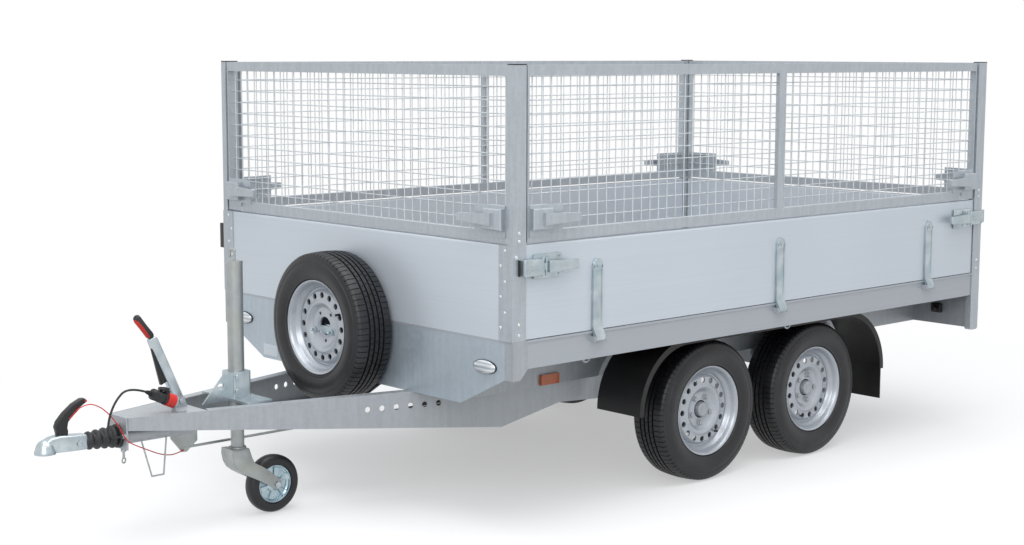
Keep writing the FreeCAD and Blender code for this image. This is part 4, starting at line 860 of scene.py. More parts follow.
# %% Rim
def rim_profile():
    """The barrel, then the disc from its edge to the centre hole and back on its inner face."""
    edge, front = RIM_RADIUS, RIM_HALF
    barrel = [
        (-front, edge), (-front + 0.004, edge), (-front + 0.010, edge - 0.010),
        (-front + 0.024, edge - 0.014), (-0.020, edge - 0.024), (0.030, edge - 0.024),
        (front - 0.024, edge - 0.014), (front - 0.010, edge - 0.010), (front - 0.005, edge),
        (front - 0.001, edge), (front, edge - 0.0015), (front - 0.001, edge - 0.004),
        (front - 0.005, edge - 0.008), (front - 0.012, edge - 0.013), (front - 0.022, edge - 0.016),
        (front - 0.030, edge - 0.021), (front - 0.036, edge - 0.029), (0.030, edge - 0.033),
    ]
    disc = [
        (0.028, 0.146), (0.035, 0.142), (0.039, 0.137), (DISC_FACE, 0.134), (DISC_FACE + 0.0005, 0.110),
        (0.0440, 0.1045), (0.0475, 0.100), (0.0480, 0.096), (0.045, 0.090), (0.036, 0.081),
        (0.029, 0.074), (DISH_FACE + 0.001, 0.069), (DISH_FACE, 0.063), (DISH_FACE, 0.046),
        (DISH_FACE + 0.003, 0.041), (DISH_FACE + 0.0035, CENTRE_HOLE + 0.001),
        (DISH_FACE + 0.002, CENTRE_HOLE),
    ]
    inside = [
        (0.020, CENTRE_HOLE), (0.020, 0.069), (0.029, 0.081), (0.041, 0.092), (0.041, 0.099),
        (0.036, 0.109), (0.036, 0.133), (0.024, 0.143), (0.025, edge - 0.036),
        (-0.020, edge - 0.028), (-front + 0.024, edge - 0.018), (-front, edge - 0.008),
    ]
    return barrel + disc + inside


# %% Rim with its holes punched
def rim(with_bolt_holes):
    piece = turned(rim_profile(), RIM_SIDES)
    height = DISC_FACE - 0.003
    punches = [begin("cylinder", vertices=20, radius=HOLE_RADIUS, depth=0.03, location=(x, y, height))
               for x, y in round_circle(HOLE_CIRCLE, HOLE_COUNT)]
    if with_bolt_holes:
        punches += [begin("cylinder", vertices=16, radius=0.007, depth=0.03, location=(x, y, DISH_FACE))
                    for x, y in round_circle(BOLT_CIRCLE, BOLT_COUNT, BOLT_START)]
    punch = join(punches)
    modify(piece, "BOOLEAN", object=punch, operation="DIFFERENCE", solver="EXACT")
    discard(punch)
    smooth(piece, 35)
    return piece


pattern_rim = rim(with_bolt_holes=False)
pattern_spare_rim = rim(with_bolt_holes=True)
print("rim faces:", len(pattern_rim.data.polygons), len(pattern_spare_rim.data.polygons))


# %% Wheel bolts, dust cap, drum and valve
VALVE_CIRCLE = 0.139
VALVE_LEAN = math.radians(-16)


def hub_parts():
    cap = capped([(0.010, 0.0300), (0.042, 0.0300), (0.0455, 0.0290), (0.0480, 0.0260), (0.0490, 0.020),
                  (0.0480, 0.017)], 40)
    bolt = capped([(0.024, 0.0135), (0.028, 0.0130), (0.030, 0.0100), (0.037, 0.0098), (0.039, 0.0080)], 6)
    bolts = repeated(bolt, [moved(x, y, 0) for x, y in round_circle(BOLT_CIRCLE, BOLT_COUNT, BOLT_START)])
    drum = capped([(-0.040, 0.105), (0.000, 0.105), (0.003, 0.100), (0.010, 0.098), (0.011, 0.070)], 64)
    whole = join([cap, drum, bolts])
    smooth(whole, 30)
    return whole


def valve():
    stem = capped([(0.036, 0.0045), (0.050, 0.0040), (0.051, 0.0050), (0.062, 0.0048), (0.063, 0.0032)], 12)
    stem = placed(stem, moved(VALVE_CIRCLE, 0.0, 0.0) @ Matrix.Rotation(VALVE_LEAN, 4, "Y"))
    smooth(stem, 40)
    return stem


pattern_hub = hub_parts()
pattern_valve = valve()
print("hub and valve faces:", len(pattern_hub.data.polygons), len(pattern_valve.data.polygons))

# %% [markdown]
# Each wheel stopped rolling at its own angle, so the copies are turned by different amounts
# about their axles. The valve shows this best.

# %% Put the wheels together
WHEEL_TURNS = {"front_left": 0, "rear_left": -58, "front_right": 140, "rear_right": 35}
VALVE_AT = math.radians(-53)
for place, turn in WHEEL_TURNS.items():
    sign = -1 if place.endswith("left") else 1
    outwards = (Matrix.Translation(middle(f"tyre_{place}")) @ Matrix.Rotation(-sign * QUARTER, 4, "X")
                @ Matrix.Rotation(math.radians(turn), 4, "Z"))
    body = f"wheel_{place}"
    settle(copy_to(pattern_tyre, outwards), f"treaded_tyre_{place}", body, tyre_rubber, "tyre_rubber",
           f"tyre_{place}")
    settle(copy_to(pattern_rim, outwards), f"pressed_rim_{place}", body, wheel_silver, "silver_paint",
           f"wheel_{place}")
    settle(copy_to(pattern_hub, outwards), f"hub_and_bolts_{place}", body, drawbar_steel, "galvanised_steel")
    settle(copy_to(pattern_valve, outwards @ Matrix.Rotation(VALVE_AT, 4, "Z")), f"valve_{place}", body,
           cable_rubber, "black_plastic")

# %% [markdown]
# ## Spare wheel
# The spare hangs on a bracket at the headboard: a square post on a plate, a cross bar behind
# the dish, and two studs that come through two of the five bolt holes. The other three holes
# and the centre hole stay open.

# %% Spare wheel and its bracket
SPARE_MIDDLE = middle("spare_tyre")
spare_turn = (Matrix.Translation(SPARE_MIDDLE) @ Matrix.Rotation(-QUARTER, 4, "Y")
              @ Matrix.Rotation(-QUARTER, 4, "Z"))
SPARE_VALVE_AT = math.radians(28)


def spare_mount():
    """Post, wall plate, cross bar, studs and nuts, drawn about the wheel's own axis."""
    wall = SPARE_MIDDLE.x - BODY_FRONT
    stud_places = [round_circle(BOLT_CIRCLE, BOLT_COUNT, BOLT_START)[index] for index in (0, 3)]
    low_edge = stud_places[0][1]
    post = block((-0.022, -0.040, wall + 0.006), (0.022, 0.004, DISH_FACE - 0.014))
    bar = block((-0.070, low_edge - 0.016, DISH_FACE - 0.014), (0.070, low_edge + 0.016, DISH_FACE - 0.0065))
    plate = block((-0.075, -0.035, wall + 0.0005), (0.075, 0.115, wall + 0.006))
    stud = capped([(DISH_FACE - 0.010, 0.0055), (DISH_FACE + 0.030, 0.0055), (DISH_FACE + 0.032, 0.004)], 14)
    nut = capped([(DISH_FACE - 0.001, 0.0145), (DISH_FACE + 0.003, 0.0140), (DISH_FACE + 0.005, 0.0115),
                  (DISH_FACE + 0.016, 0.0113), (DISH_FACE + 0.0175, 0.0095)], 6)
    studs = repeated(join([stud, nut]), [moved(x, y, 0) for x, y in stud_places])
    whole = join([post, bar, plate, studs])
    smooth(whole, 30)
    return whole


settle(copy_to(pattern_tyre, spare_turn), "treaded_tyre_spare", "chassis", tyre_rubber, "tyre_rubber",
       "spare_tyre")
settle(copy_to(pattern_spare_rim, spare_turn), "pressed_rim_spare", "chassis", wheel_silver, "silver_paint",
       "spare_rim")
settle(copy_to(pattern_valve, spare_turn @ Matrix.Rotation(SPARE_VALVE_AT, 4, "Z")), "valve_spare", "chassis",
       cable_rubber, "black_plastic")
settle(placed(spare_mount(), spare_turn), "spare_mount", "chassis", bright_zinc, "galvanised_steel",
       "spare_bracket")
for pattern in (pattern_tyre, pattern_rim, pattern_spare_rim, pattern_hub, pattern_valve):
    discard(pattern)

# %% [markdown]
# ## Mesh wire
# The panels are filled with welded mesh: round wire about 4 mm thick, 47 mm apart both ways,
# with the standing wires on the outside. Each wire is a thin eight-sided rod, made once and
# repeated by an Array modifier.

# %% One row of wires
WIRE_RADIUS = 0.0021
WIRE_PITCH = 0.047
WIRE_SIDES = 8


def wire_row(start, direction, length, step, count):
    """A row of equal rods: the first starts at a place, and each next one lies a step further."""
    rod = begin("cylinder", vertices=WIRE_SIDES, radius=WIRE_RADIUS, depth=length, end_fill_type="NGON")
    row = placed(rod, Matrix.Translation(start + direction * length / 2) @ facing(direction))
    modify(row, "ARRAY", count=count, use_relative_offset=False, use_constant_offset=True,
           constant_offset_displace=step)
    return row


# %% The two layers of wire in one panel
def mesh_wire(side, along, outwards):
    """Standing and lying wires of one panel."""
    first, last = low(f"mesh_wires_{side}"), high(f"mesh_wires_{side}")
    up = Vector((0, 0, 1))
    centre = (first + last) / 2
    depth = abs((last - first).dot(outwards)) / 2
    outer = centre + outwards * (depth - WIRE_RADIUS)
    inner = outer - outwards * 2 * WIRE_RADIUS
    length = (last - first).dot(along)
    height = last.z - first.z
    count = int(length // WIRE_PITCH)
    begin_at = outer - along * (count - 1) / 2 * WIRE_PITCH - up * height / 2
    standing = wire_row(begin_at, up, height, along * WIRE_PITCH, count)
    lying_count = int(height // WIRE_PITCH)
    begin_at = inner - along * length / 2 - up * (lying_count - 1) / 2 * WIRE_PITCH
    lying = wire_row(begin_at, along, length, up * WIRE_PITCH, lying_count)
    print(side, "panel has", count, "standing and", lying_count, "lying wires")
    whole = join([standing, lying])
    smooth(whole, 60)
    return whole


# %% Mesh of the four panels
PANELS = {
    "left": (Vector((1, 0, 0)), Vector((0, -1, 0))),
    "right": (Vector((1, 0, 0)), Vector((0, 1, 0))),
    "front": (Vector((0, 1, 0)), Vector((-1, 0, 0))),
    "rear": (Vector((0, 1, 0)), Vector((1, 0, 0))),
}
for side, (along, outwards) in PANELS.items():
    settle(mesh_wire(side, along, outwards), f"welded_mesh_{side}", f"mesh_panel_{side}", wire_steel,
           "galvanised_steel", f"mesh_wires_{side}")

# %% [markdown]
# ## Bellows
# The rubber bellows keep dirt off the sliding shaft. They are a lathe shape whose radius
# swings between folds while it grows towards the drawbar, with a plain collar that a clip
# holds on the flange. The folds are sharp in the valleys and full on the crests, so the swing
# is a power of a cosine.

# %% Bellows
FOLDS = 4
RINGS_PER_FOLD = 10
COLLAR_LENGTH = 0.012
bellows_low, bellows_high = low("bellows"), high("bellows")


def bellows():
    bore, fold_depth = 0.0225, 0.24
    length = bellows_high.x - bellows_low.x
    collar = (bellows_high.z - bellows_low.z) / 2
    rear, front = collar * 0.98, collar * 0.74
    sleeve = length - COLLAR_LENGTH
    rings = []
    for index in range(FOLDS * RINGS_PER_FOLD + 1):
        share = index / (FOLDS * RINGS_PER_FOLD)
        crest = front + (rear - front) * share
        swing = abs(math.cos(math.pi * share * FOLDS)) ** 2.5
        rings.append((sleeve * share, crest * (1 - fold_depth * swing)))
    rings += [(sleeve + 0.001, collar - 0.002), (sleeve + 0.003, collar), (length - 0.002, collar),
              (length, collar - 0.002), (length, bore), (0.0, bore)]
    piece = turned(rings, 64)
    smooth(piece, 50)
    return placed(piece, moved(bellows_low.x, 0, (bellows_low.z + bellows_high.z) / 2)
                  @ Matrix.Rotation(QUARTER, 4, "Y"))


settle(bellows(), "folded_bellows", "chassis", soft_rubber, "black_plastic", "bellows")

# %% [markdown]
# ## Coupling head and its release lever
# The head is pressed from thick sheet: a dome over the ball, and a boxed body that runs back
# into the bellows. The dome is a lathe shape, and the body is traced from the side and rounded
# by a bevel. The lever is a black moulding, curved like a hand, with a red inlay under the palm
# and a red tip. It is traced in the same way.

# %% Coupling head
HEAD_HEIGHT = (bellows_low.z + bellows_high.z) / 2
DOME_RADIUS = 0.037
HEAD_PLACE = moved(low("coupling_head").x + DOME_RADIUS, 0, HEAD_HEIGHT)
HEAD_OUTLINE = [(-0.006, -0.022), (-0.006, 0.022), (0.018, 0.0330), (0.048, 0.0370), (0.100, 0.032),
                (0.152, 0.028), (0.152, -0.026), (0.098, -0.025), (0.038, -0.022)]


def coupling_head():
    dome = turned([(-0.022, DOME_RADIUS), (-0.012, DOME_RADIUS), (-0.009, 0.0345), (0.002, 0.0320),
                   (0.012, 0.0275), (0.020, 0.0210), (0.0255, 0.012), (0.0275, 0.002), (0.020, 0.002),
                   (0.018, 0.012), (0.008, 0.0215), (0.0, 0.0255), (-0.022, 0.0265)], 56)
    body = traced(HEAD_OUTLINE, 0.0235)
    soften(body, 0.009, 4)
    bolt = hexagon(0.0095, 0.007, 0.0085, 0.008)
    bolts = repeated(bolt, [moved(0.118, side * 0.0230, 0.0) @ Matrix.Rotation(-side * QUARTER, 4, "X")
                            for side in (-1, 1)])
    whole = join([dome, body, bolts])
    smooth(whole, 40)
    return placed(whole, HEAD_PLACE)


settle(coupling_head(), "coupling_shell", "chassis", bright_zinc, "zinc_plate", "coupling_head")

# %% Release lever, traced behind the point of the beams
LEVER_OUTLINE = [(-0.247, 0.445), (-0.250, 0.455), (-0.243, 0.474), (-0.218, 0.501), (-0.183, 0.528),
                 (-0.151, 0.543), (-0.138, 0.543), (-0.128, 0.533), (-0.138, 0.525), (-0.159, 0.512),
                 (-0.174, 0.495), (-0.193, 0.478), (-0.202, 0.468), (-0.206, 0.449), (-0.203, 0.437),
                 (-0.205, 0.420), (-0.241, 0.420)]
LEVER_HALF = 0.013


def coupling_lever():
    lever = traced(LEVER_OUTLINE, LEVER_HALF)
    soften(lever, 0.0045)
    smooth(lever, 40)
    return placed(lever, moved(POINT, 0, 0))


settle(coupling_lever(), "release_lever", "chassis", black_nylon, "black_plastic", "coupling_lever")


# %% Red inlays of the lever
def lever_inlay(start, end, depth):
    """A rounded bar between two points of the lever's side, 0.6 mm proud of it."""
    first, last = Vector((POINT + start[0], 0, start[1])), Vector((POINT + end[0], 0, end[1]))
    half, run = LEVER_HALF + 0.0006, (last - first).length
    bar = block((-depth / 2, -half, 0), (depth / 2, half, run), bevel=0.003, segments=3)
    return placed(bar, Matrix.Translation(first) @ facing(last - first) @ Matrix.Rotation(-QUARTER, 4, "Z"))


inlays = join([lever_inlay((-0.200, 0.478), (-0.158, 0.5145), 0.0075),
               lever_inlay((-0.139, 0.5310), (-0.131, 0.5370), 0.011)])
smooth(inlays, 40)
settle(inlays, "release_lever_inlays", "chassis", red_nylon, "red_plastic")

# %% [markdown]
# ## Handbrake
# The lever is folded sheet that narrows towards the grip. It is traced from the side and its
# edges are rounded. The grip is black rubber with a red plate on its front and a button at its
# end. Two capsules drawn as lathe shapes lie beside each other. A black cover stands in the
# open front of the lever and widens towards its foot: it hides the gas strut.

# %% Where the handbrake stands
JOINTS = {joint["name"]: joint for joint in frame["record"]["behaviour"]["joints"]}
BRAKE_PIVOT = Vector(JOINTS["handbrake_pull"]["pos_m"])
BRAKE_TILT = math.radians(-23.7)
BRAKE_LENGTH = 0.262
GRIP_BEND = math.radians(-14)
GRIP_LENGTH = 0.104
BRAKE_PLACE = Matrix.Translation(BRAKE_PIVOT) @ Matrix.Rotation(BRAKE_TILT, 4, "Y")
GRIP_PLACE = BRAKE_PLACE @ moved(0, 0, BRAKE_LENGTH) @ Matrix.Rotation(GRIP_BEND, 4, "Y")
print("handbrake pivot:", [round(v, 4) for v in BRAKE_PIVOT])


# %% Lever
def brake_lever():
    """A folded channel that narrows a little towards the grip, with its foot rounded at the pivot."""
    body_part = traced([(-0.012, -0.014), (0.012, -0.014), (0.018, -0.006), (0.0165, 0.250),
                        (0.012, BRAKE_LENGTH), (-0.012, BRAKE_LENGTH), (-0.0165, 0.250),
                        (-0.018, -0.006)], 0.013)
    soften(body_part, 0.0025)
    smooth(body_part, 35)
    return placed(body_part, BRAKE_PLACE)


settle(brake_lever(), "brake_lever", "handbrake", bright_zinc, "galvanised_steel", "handbrake_lever")


# %% Grip
def grip():
    """The black body with its neck and button, and the red plate on its front."""
    length = GRIP_LENGTH
    neck = placed(capped([(-0.006, 0.0098), (0.012, 0.0098)], 32), GRIP_PLACE)
    black = capped([(0.001, 0.0095), (0.004, 0.0125), (0.014, 0.0138), (length * 0.5, 0.0128),
                    (length * 0.86, 0.0138), (length * 0.95, 0.012), (length * 0.97, 0.009)], 32)
    button = capped([(length * 0.95, 0.006), (length - 0.001, 0.006), (length, 0.0045)], 24)
    body_part = join([placed(join([black, button]), GRIP_PLACE @ moved(0.0012, 0, 0)), neck])
    plate = capped([(0.008, 0.0095), (0.012, 0.0122), (length * 0.5, 0.0118), (length * 0.84, 0.0122),
                    (length * 0.92, 0.0095)], 32)
    plate = placed(plate, GRIP_PLACE @ moved(-0.0028, 0, 0))
    for piece in (body_part, plate):
        smooth(piece, 40)
    return body_part, plate


grip_black, grip_red = grip()
settle(grip_black, "grip_body", "handbrake", soft_rubber, "black_plastic", "handbrake_grip")
settle(grip_red, "grip_plate", "handbrake", red_nylon, "red_plastic")


# %% Strut cover in the lever's open front
def strut_cover():
    """A wedge that is thin near the grip and widens towards the foot."""
    top, foot = 0.225, 0.088
    front = -0.0155
    depth, width = 0.026, 0.015
    wedge = begin("cube", size=1, location=(front - depth / 2, 0, (top + foot) / 2),
                  scale=(depth, width, top - foot))
    apply_place()
    edit(wedge)
    pick(wedge, lambda c, n: n.z > 0.9)
    bpy.ops.transform.resize(value=(0.15, 0.7, 1), center_override=(front, 0, top))
    leave()
    modify(wedge, "BEVEL", width=0.003, segments=3, limit_method="ANGLE")
    smooth(wedge, 40)
    return placed(wedge, BRAKE_PLACE)


settle(strut_cover(), "strut_cover", "handbrake", black_nylon, "black_plastic")


# %% Pivot bolt
def pivot_bolt():
    half = 0.0215
    head = hexagon(0.0105, 0.006, 0.0095, 0.0088, start=half)
    ends = [Matrix.Translation(BRAKE_PIVOT) @ Matrix.Rotation(sign * QUARTER, 4, "X") for sign in (1, -1)]
    bolt = repeated(head, ends)
    smooth(bolt, 30)
    return bolt


settle(pivot_bolt(), "handbrake_pivot_bolt", "chassis", bright_zinc, "zinc_plate")

# %% [markdown]
# ## Plug, parking socket and the fittings under the flange
# The parked plug is a black moulding with flats for the hand and a sprung lid over the red
# socket. The strain relief tapers towards the cable. Below the flange hangs the eye of the
# breakaway cable's guide.

# %% Plug
RELIEF_FOLDS = 5
RELIEF_START, RELIEF_STEP = 0.0645, 0.0040
RELIEF_RADIUS, RELIEF_TAPER = 0.0100, 0.0008
LID_LEAN = math.radians(74)


def parked_plug():
    """Core, collar, eight-sided hand grip, strain relief and lid, drawn along the plug's own axis."""
    core = capped([(0.0003, 0.0190), (0.040, 0.0190)], 40)
    collar = capped([(0.001, 0.0195), (0.002, 0.0225), (0.010, 0.0225), (0.0115, 0.0205)], 40)
    hand = capped([(0.012, 0.0195), (0.014, 0.0215), (0.034, 0.0212), (0.036, 0.0195)], 8)
    sleeve = capped([(0.036, 0.0203), (0.058, 0.0203), (0.062, 0.0185)], 40)
    relief = [(0.061, 0.0175), (0.063, 0.0115)]
    for index in range(RELIEF_FOLDS):
        start, radius = RELIEF_START + index * RELIEF_STEP, RELIEF_RADIUS - index * RELIEF_TAPER
        relief += [(start, radius), (start + 0.0020, radius), (start + 0.0021, radius - 0.0014),
                   (start + 0.0038, radius - 0.0014)]
    relief = capped(relief + [(PLUG_REACH + 0.001, 0.0050)], 24)
    lid = block((-0.016, -0.016, -0.002), (0.016, 0.016, 0.010), bevel=0.004, segments=3)
    lid = placed(lid, moved(0.026, 0, 0.020) @ Matrix.Rotation(LID_LEAN, 4, "Y"))
    hinge = block((0.018, -0.010, -0.004), (0.030, 0.010, 0.014), bevel=0.002)
    whole = placed(join([core, collar, hand, sleeve, relief, lid, hinge]), PLUG_PLACE)
    smooth(whole, 30)
    return whole


settle(parked_plug(), "parked_plug", "chassis", black_nylon, "black_plastic", "plug")


# %% Nut and eye below the flange
def guide_fittings():
    flange, foot = POINT - 0.004, low("overrun_housing").z
    side, eye_turn = -0.030, 0.35
    nut = hexagon(0.0098, 0.009, 0.009, 0.009)
    nut = placed(nut, moved(flange, side, foot - 0.0085))
    stem = placed(capped([(-0.032, 0.0045), (0.0005, 0.0045)], 14), moved(flange, side, foot))
    eye = begin("torus", major_radius=0.009, minor_radius=0.0028, major_segments=28, minor_segments=10,
                location=(flange, side, foot - 0.0405), rotation=(QUARTER, 0, eye_turn))
    apply_place()
    whole = join([nut, stem, eye])
    smooth(whole, 35)
    return whole


settle(guide_fittings(), "guide_nut_and_eye", "chassis", dull_zinc, "zinc_plate")

# %% [markdown]
# ## Jockey wheel
# The wheel is two pressed zinc discs with deep pockets between six ribs, inside a solid rubber
# tyre with rounded shoulders. Disc and tyre are lathe shapes. The pockets are picked by angle,
# inset and pushed in.

# %% Jockey tyre
JOCKEY_MIDDLE = middle("jockey_tyre")
JOCKEY_RADIUS = (high("jockey_tyre").z - low("jockey_tyre").z) / 2
JOCKEY_HALF = (high("jockey_tyre").y - low("jockey_tyre").y) / 2
JOCKEY_RIM = (high("jockey_rim").z - low("jockey_rim").z) / 2
JOCKEY_RIM_HALF = (high("jockey_rim").y - low("jockey_rim").y) / 2
JOCKEY_SIDES = 72
print("jockey tyre radius and width:", round(JOCKEY_RADIUS, 3), round(2 * JOCKEY_HALF, 3))


def jockey_tyre():
    edge, half = JOCKEY_RADIUS, JOCKEY_HALF
    side = [(half - 0.020, edge - 0.0005), (half - 0.012, edge - 0.002), (half - 0.006, edge - 0.006),
            (half - 0.002, edge - 0.012), (half, edge - 0.019), (half - 0.001, JOCKEY_RIM + 0.003),
            (half - 0.004, JOCKEY_RIM + 0.0005)]
    crown = [(-0.004, edge), (0.004, edge)]
    piece = turned([(-h, r) for h, r in reversed(side)] + crown + side, JOCKEY_SIDES)
    smooth(piece, 40)
    return piece


# %% Jockey disc
POCKET_COUNT = 6
POCKET_FOOT = 0.030
JOCKEY_STOP = 0.3


def jockey_disc():
    """One side's disc with its rolled edge; the wheel has two, back to back."""
    edge, half = JOCKEY_RIM, JOCKEY_RIM_HALF
    rings = [
        (0.0, edge), (half - 0.003, edge), (half, edge - 0.002), (half, edge - 0.005),
        (half - 0.004, edge - 0.007), (half - 0.009, edge - 0.013), (0.013, 0.058), (0.015, 0.030),
        (0.017, 0.024), (half - 0.001, 0.020), (half, 0.018), (half, 0.0082), (0.0, 0.0082),
    ]
    piece = turned(rings, JOCKEY_SIDES)
    edit(piece)
    per_pocket = JOCKEY_SIDES // POCKET_COUNT
    step = 2 * math.pi / JOCKEY_SIDES
    pocket = lambda c: 2 <= math.floor(math.atan2(c.y, c.x) / step) % per_pocket <= per_pocket - 3
    on_web = lambda c: POCKET_FOOT < math.hypot(c.x, c.y) < edge - 0.010
    for start in range(POCKET_COUNT):
        inside = lambda c: math.floor((math.atan2(c.y, c.x) % (2 * math.pi)) / step) // per_pocket == start
        pick(piece, lambda c, n: n.z > 0.5 and on_web(c) and pocket(c) and inside(c))
        bpy.ops.mesh.inset(thickness=0.003, depth=-0.006)
    leave()
    smooth(piece, 35)
    return piece


jockey_turn = (Matrix.Translation(JOCKEY_MIDDLE) @ Matrix.Rotation(QUARTER, 4, "X")
               @ Matrix.Rotation(JOCKEY_STOP, 4, "Z"))
discs = repeated(jockey_disc(), [jockey_turn, jockey_turn @ Matrix.Rotation(math.pi, 4, "X")])
settle(discs, "jockey_discs", "jockey_wheel", blue_zinc, "zinc_plate", "jockey_rim")
settle(placed(jockey_tyre(), jockey_turn), "jockey_rubber", "jockey_wheel", tyre_rubber, "tyre_rubber",
       "jockey_tyre")


# %% [markdown]
# The fork is pressed from one sheet: two cheeks that sweep back from a roof under the swivel
# head to the axle, and a web that closes their front. Cheek and web are traced about the swivel
# axis and the axle's height.

# %% Fork
SWIVEL = Vector(JOINTS["jockey_swivel"]["pos_m"])
WEB_OUTSIDE = [(-0.0445, 0.162), (-0.0465, 0.140), (-0.0400, 0.110), (-0.0260, 0.086), (-0.0030, 0.068),
               (0.0205, 0.0537)]
WEB_INSIDE = [(0.0225, 0.0577), (-0.0005, 0.0720), (-0.0225, 0.089), (-0.0358, 0.1115), (-0.0420, 0.140),
              (-0.0400, 0.158)]
CHEEK_OUTLINE = WEB_OUTSIDE + [
    (0.060, 0.033), (0.112, 0.002), (0.138, -0.0165), (0.158, -0.016), (0.169, -0.004), (0.163, 0.018),
    (0.115, 0.058), (0.086, 0.079), (0.049, 0.100), (0.039, 0.120), (0.026, 0.158),
]


def fork():
    cheek_place, half_sheet, half_web = 0.0375, 0.0025, 0.0397
    cheek = traced(CHEEK_OUTLINE, half_sheet)
    cheeks = repeated(cheek, [moved(0, side * cheek_place, 0) for side in (-1, 1)])
    soften(cheeks, 0.0012, 2)
    roof = block((-0.0435, -0.0400, 0.156), (0.025, 0.0400, 0.1605), 0.0015)
    web = traced(WEB_OUTSIDE + WEB_INSIDE, half_web)
    head = capped([(0.150, 0.030), (0.163, 0.032), (0.1655, 0.031)], 48)
    axle = placed(capped([(-0.0445, 0.008), (0.0445, 0.008)], 24),
                  moved(JOCKEY_MIDDLE.x - SWIVEL.x, 0, 0) @ Matrix.Rotation(QUARTER, 4, "X"))
    whole = join([cheeks, roof, web, head, axle])
    smooth(whole, 35)
    return placed(whole, moved(SWIVEL.x, 0, JOCKEY_MIDDLE.z))


settle(fork(), "pressed_fork", "jockey_fork", dull_zinc, "zinc_plate", "jockey_fork")


# %% Axle nuts of the jockey wheel
def jockey_bolts():
    nut = hexagon(0.0135, 0.008, 0.0125, 0.0120)
    reach = high("jockey_fork").y - 0.005
    nuts = repeated(nut, [moved(JOCKEY_MIDDLE.x, side * (reach - 0.0005), JOCKEY_MIDDLE.z)
                          @ Matrix.Rotation(-side * QUARTER, 4, "X") for side in (-1, 1)])
    smooth(nuts, 30)
    return nuts


settle(jockey_bolts(), "jockey_axle_nuts", "jockey_fork", bright_zinc, "zinc_plate")


# %% Bolts of the jockey clamp
def clamp_bolts():
    """Two hexagon bolts at each side of the clamp block, near its top and foot."""
    clamp_half, heights = 0.040, (0.492, 0.545)
    forward = middle("jockey_outer_tube").x - 0.024
    bolt = hexagon(0.0105, 0.007, 0.0095, 0.009)
    corners = [(side, height) for height in heights for side in (1, -1)]
    bolts = repeated(bolt, [moved(forward, side * (clamp_half - 0.0005), height)
                            @ Matrix.Rotation(-side * QUARTER, 4, "X") for side, height in corners])
    smooth(bolts, 30)
    return bolts


settle(clamp_bolts(), "jockey_clamp_bolts", "chassis", bright_zinc, "zinc_plate")

# %% [markdown]
# ## Locks and hinge straps
# Each drop side is held by two toggle locks and hangs on straps. A lock has a pressed case that
# hooks round the post, a narrow neck, and a tapered handle on a back plate. The lock is drawn
# once, for one end of a wall, and mirrored for the other. A strap is a bar with a round head
# and a pressed groove, which bends out to the hinge knuckle at its foot.

# %% The fittings' sizes, from the frame
BOARD_SIDES = {"side_board_left": "left", "side_board_right": "right", "tailboard": "rear"}
LOCK_STARTS = {"left": low("side_board_left_fittings").x - BODY_FRONT,
               "right": low("side_board_right_fittings").x - BODY_FRONT,
               "rear": SIDE_FACE - high("tailboard_fittings").y}
LOCK_MIDDLE = high("headboard").z - 0.079
CASE_FACE = 0.0273
BOARD_FACE = -0.0047
STRAP_HALF = 0.024
STRAP_TOP = high("headboard").z - 0.073
STRAP_FOOT = low("side_board_left").z
KNUCKLE_PLACE = (0.013, 0.690)
KNUCKLE_RADIUS = 0.009
PIN_RADIUS = 0.00508
STRAP_PLACES = {"left": (-1.056, 0.002, 1.051), "right": (-1.051, -0.002, 1.056),
                "rear": (-0.566, 0.566)}
print("locks start at", {side: round(start, 4) for side, start in LOCK_STARTS.items()})


# %% One lock
CASE_LENGTH = 0.095
CASE_HALF = 0.030
BACK_START = 0.063
BACK_HALF = 0.043
WALL_GAP = 0.0003
HANDLE_MIDDLE = (0.0272, 0.186, 0)
HANDLE_SIZE = (0.020, 0.146, 0.043)
HANDLE_TIP = (0.0352, 0.259, 0)
HANDLE_TAPER = (0.8, 1, 0.77)


def lock():
    """Drawn at the wall x = 0; it starts at y = 0 and points along +Y, with its middle at z = 0."""
    case = block((WALL_GAP, 0.0, -CASE_HALF), (CASE_FACE, CASE_LENGTH, CASE_HALF), 0.004, 3)
    neck = block((0.004, CASE_LENGTH - 0.001, -0.013), (0.024, 0.115, 0.013), 0.002)
    handle = begin("cube", size=1, location=HANDLE_MIDDLE, scale=HANDLE_SIZE)
    apply_place()
    edit(handle)
    pick(handle, lambda c, n: n.y > 0.9)
    bpy.ops.transform.resize(value=HANDLE_TAPER, center_override=HANDLE_TIP)
    leave()
    modify(handle, "BEVEL", width=0.003, segments=3, limit_method="ANGLE")
    plate = block((WALL_GAP, BACK_START, -BACK_HALF), (0.0053, 0.198, BACK_HALF), 0.001)
    seat = block((BOARD_FACE, BACK_START, -BACK_HALF), (0.0005, 0.180, BACK_HALF), 0.0005)
    ribs = [block((CASE_FACE - 0.001, 0.030, z - 0.002), (CASE_FACE + 0.0025, 0.078, z + 0.002), 0.001)
            for z in (-0.008, 0.006)]
    rim = block((CASE_FACE - 0.002, 0.004, -0.029), (CASE_FACE + 0.0015, 0.014, 0.029), 0.002)
    pins = [placed(capped([(-0.0335, 0.0035), (-0.0325, 0.0045), (0.0325, 0.0045), (0.0335, 0.0035)], 16),
                   moved(x, y, 0)) for x, y in ((0.0235, 0.089), (0.0215, 0.108))]
    screw = capped([(0, 0.0048), (0.0018, 0.0045), (0.0026, 0.003)], 14)
    screws = repeated(screw, [moved(0.005, y, z) @ Matrix.Rotation(QUARTER, 4, "Y")
                              for y in (0.128, 0.186) for z in (-0.034, 0.035)])
    whole = join([case, neck, handle, plate, seat, rim, screws] + ribs + pins)
    smooth(whole, 35)
    return whole


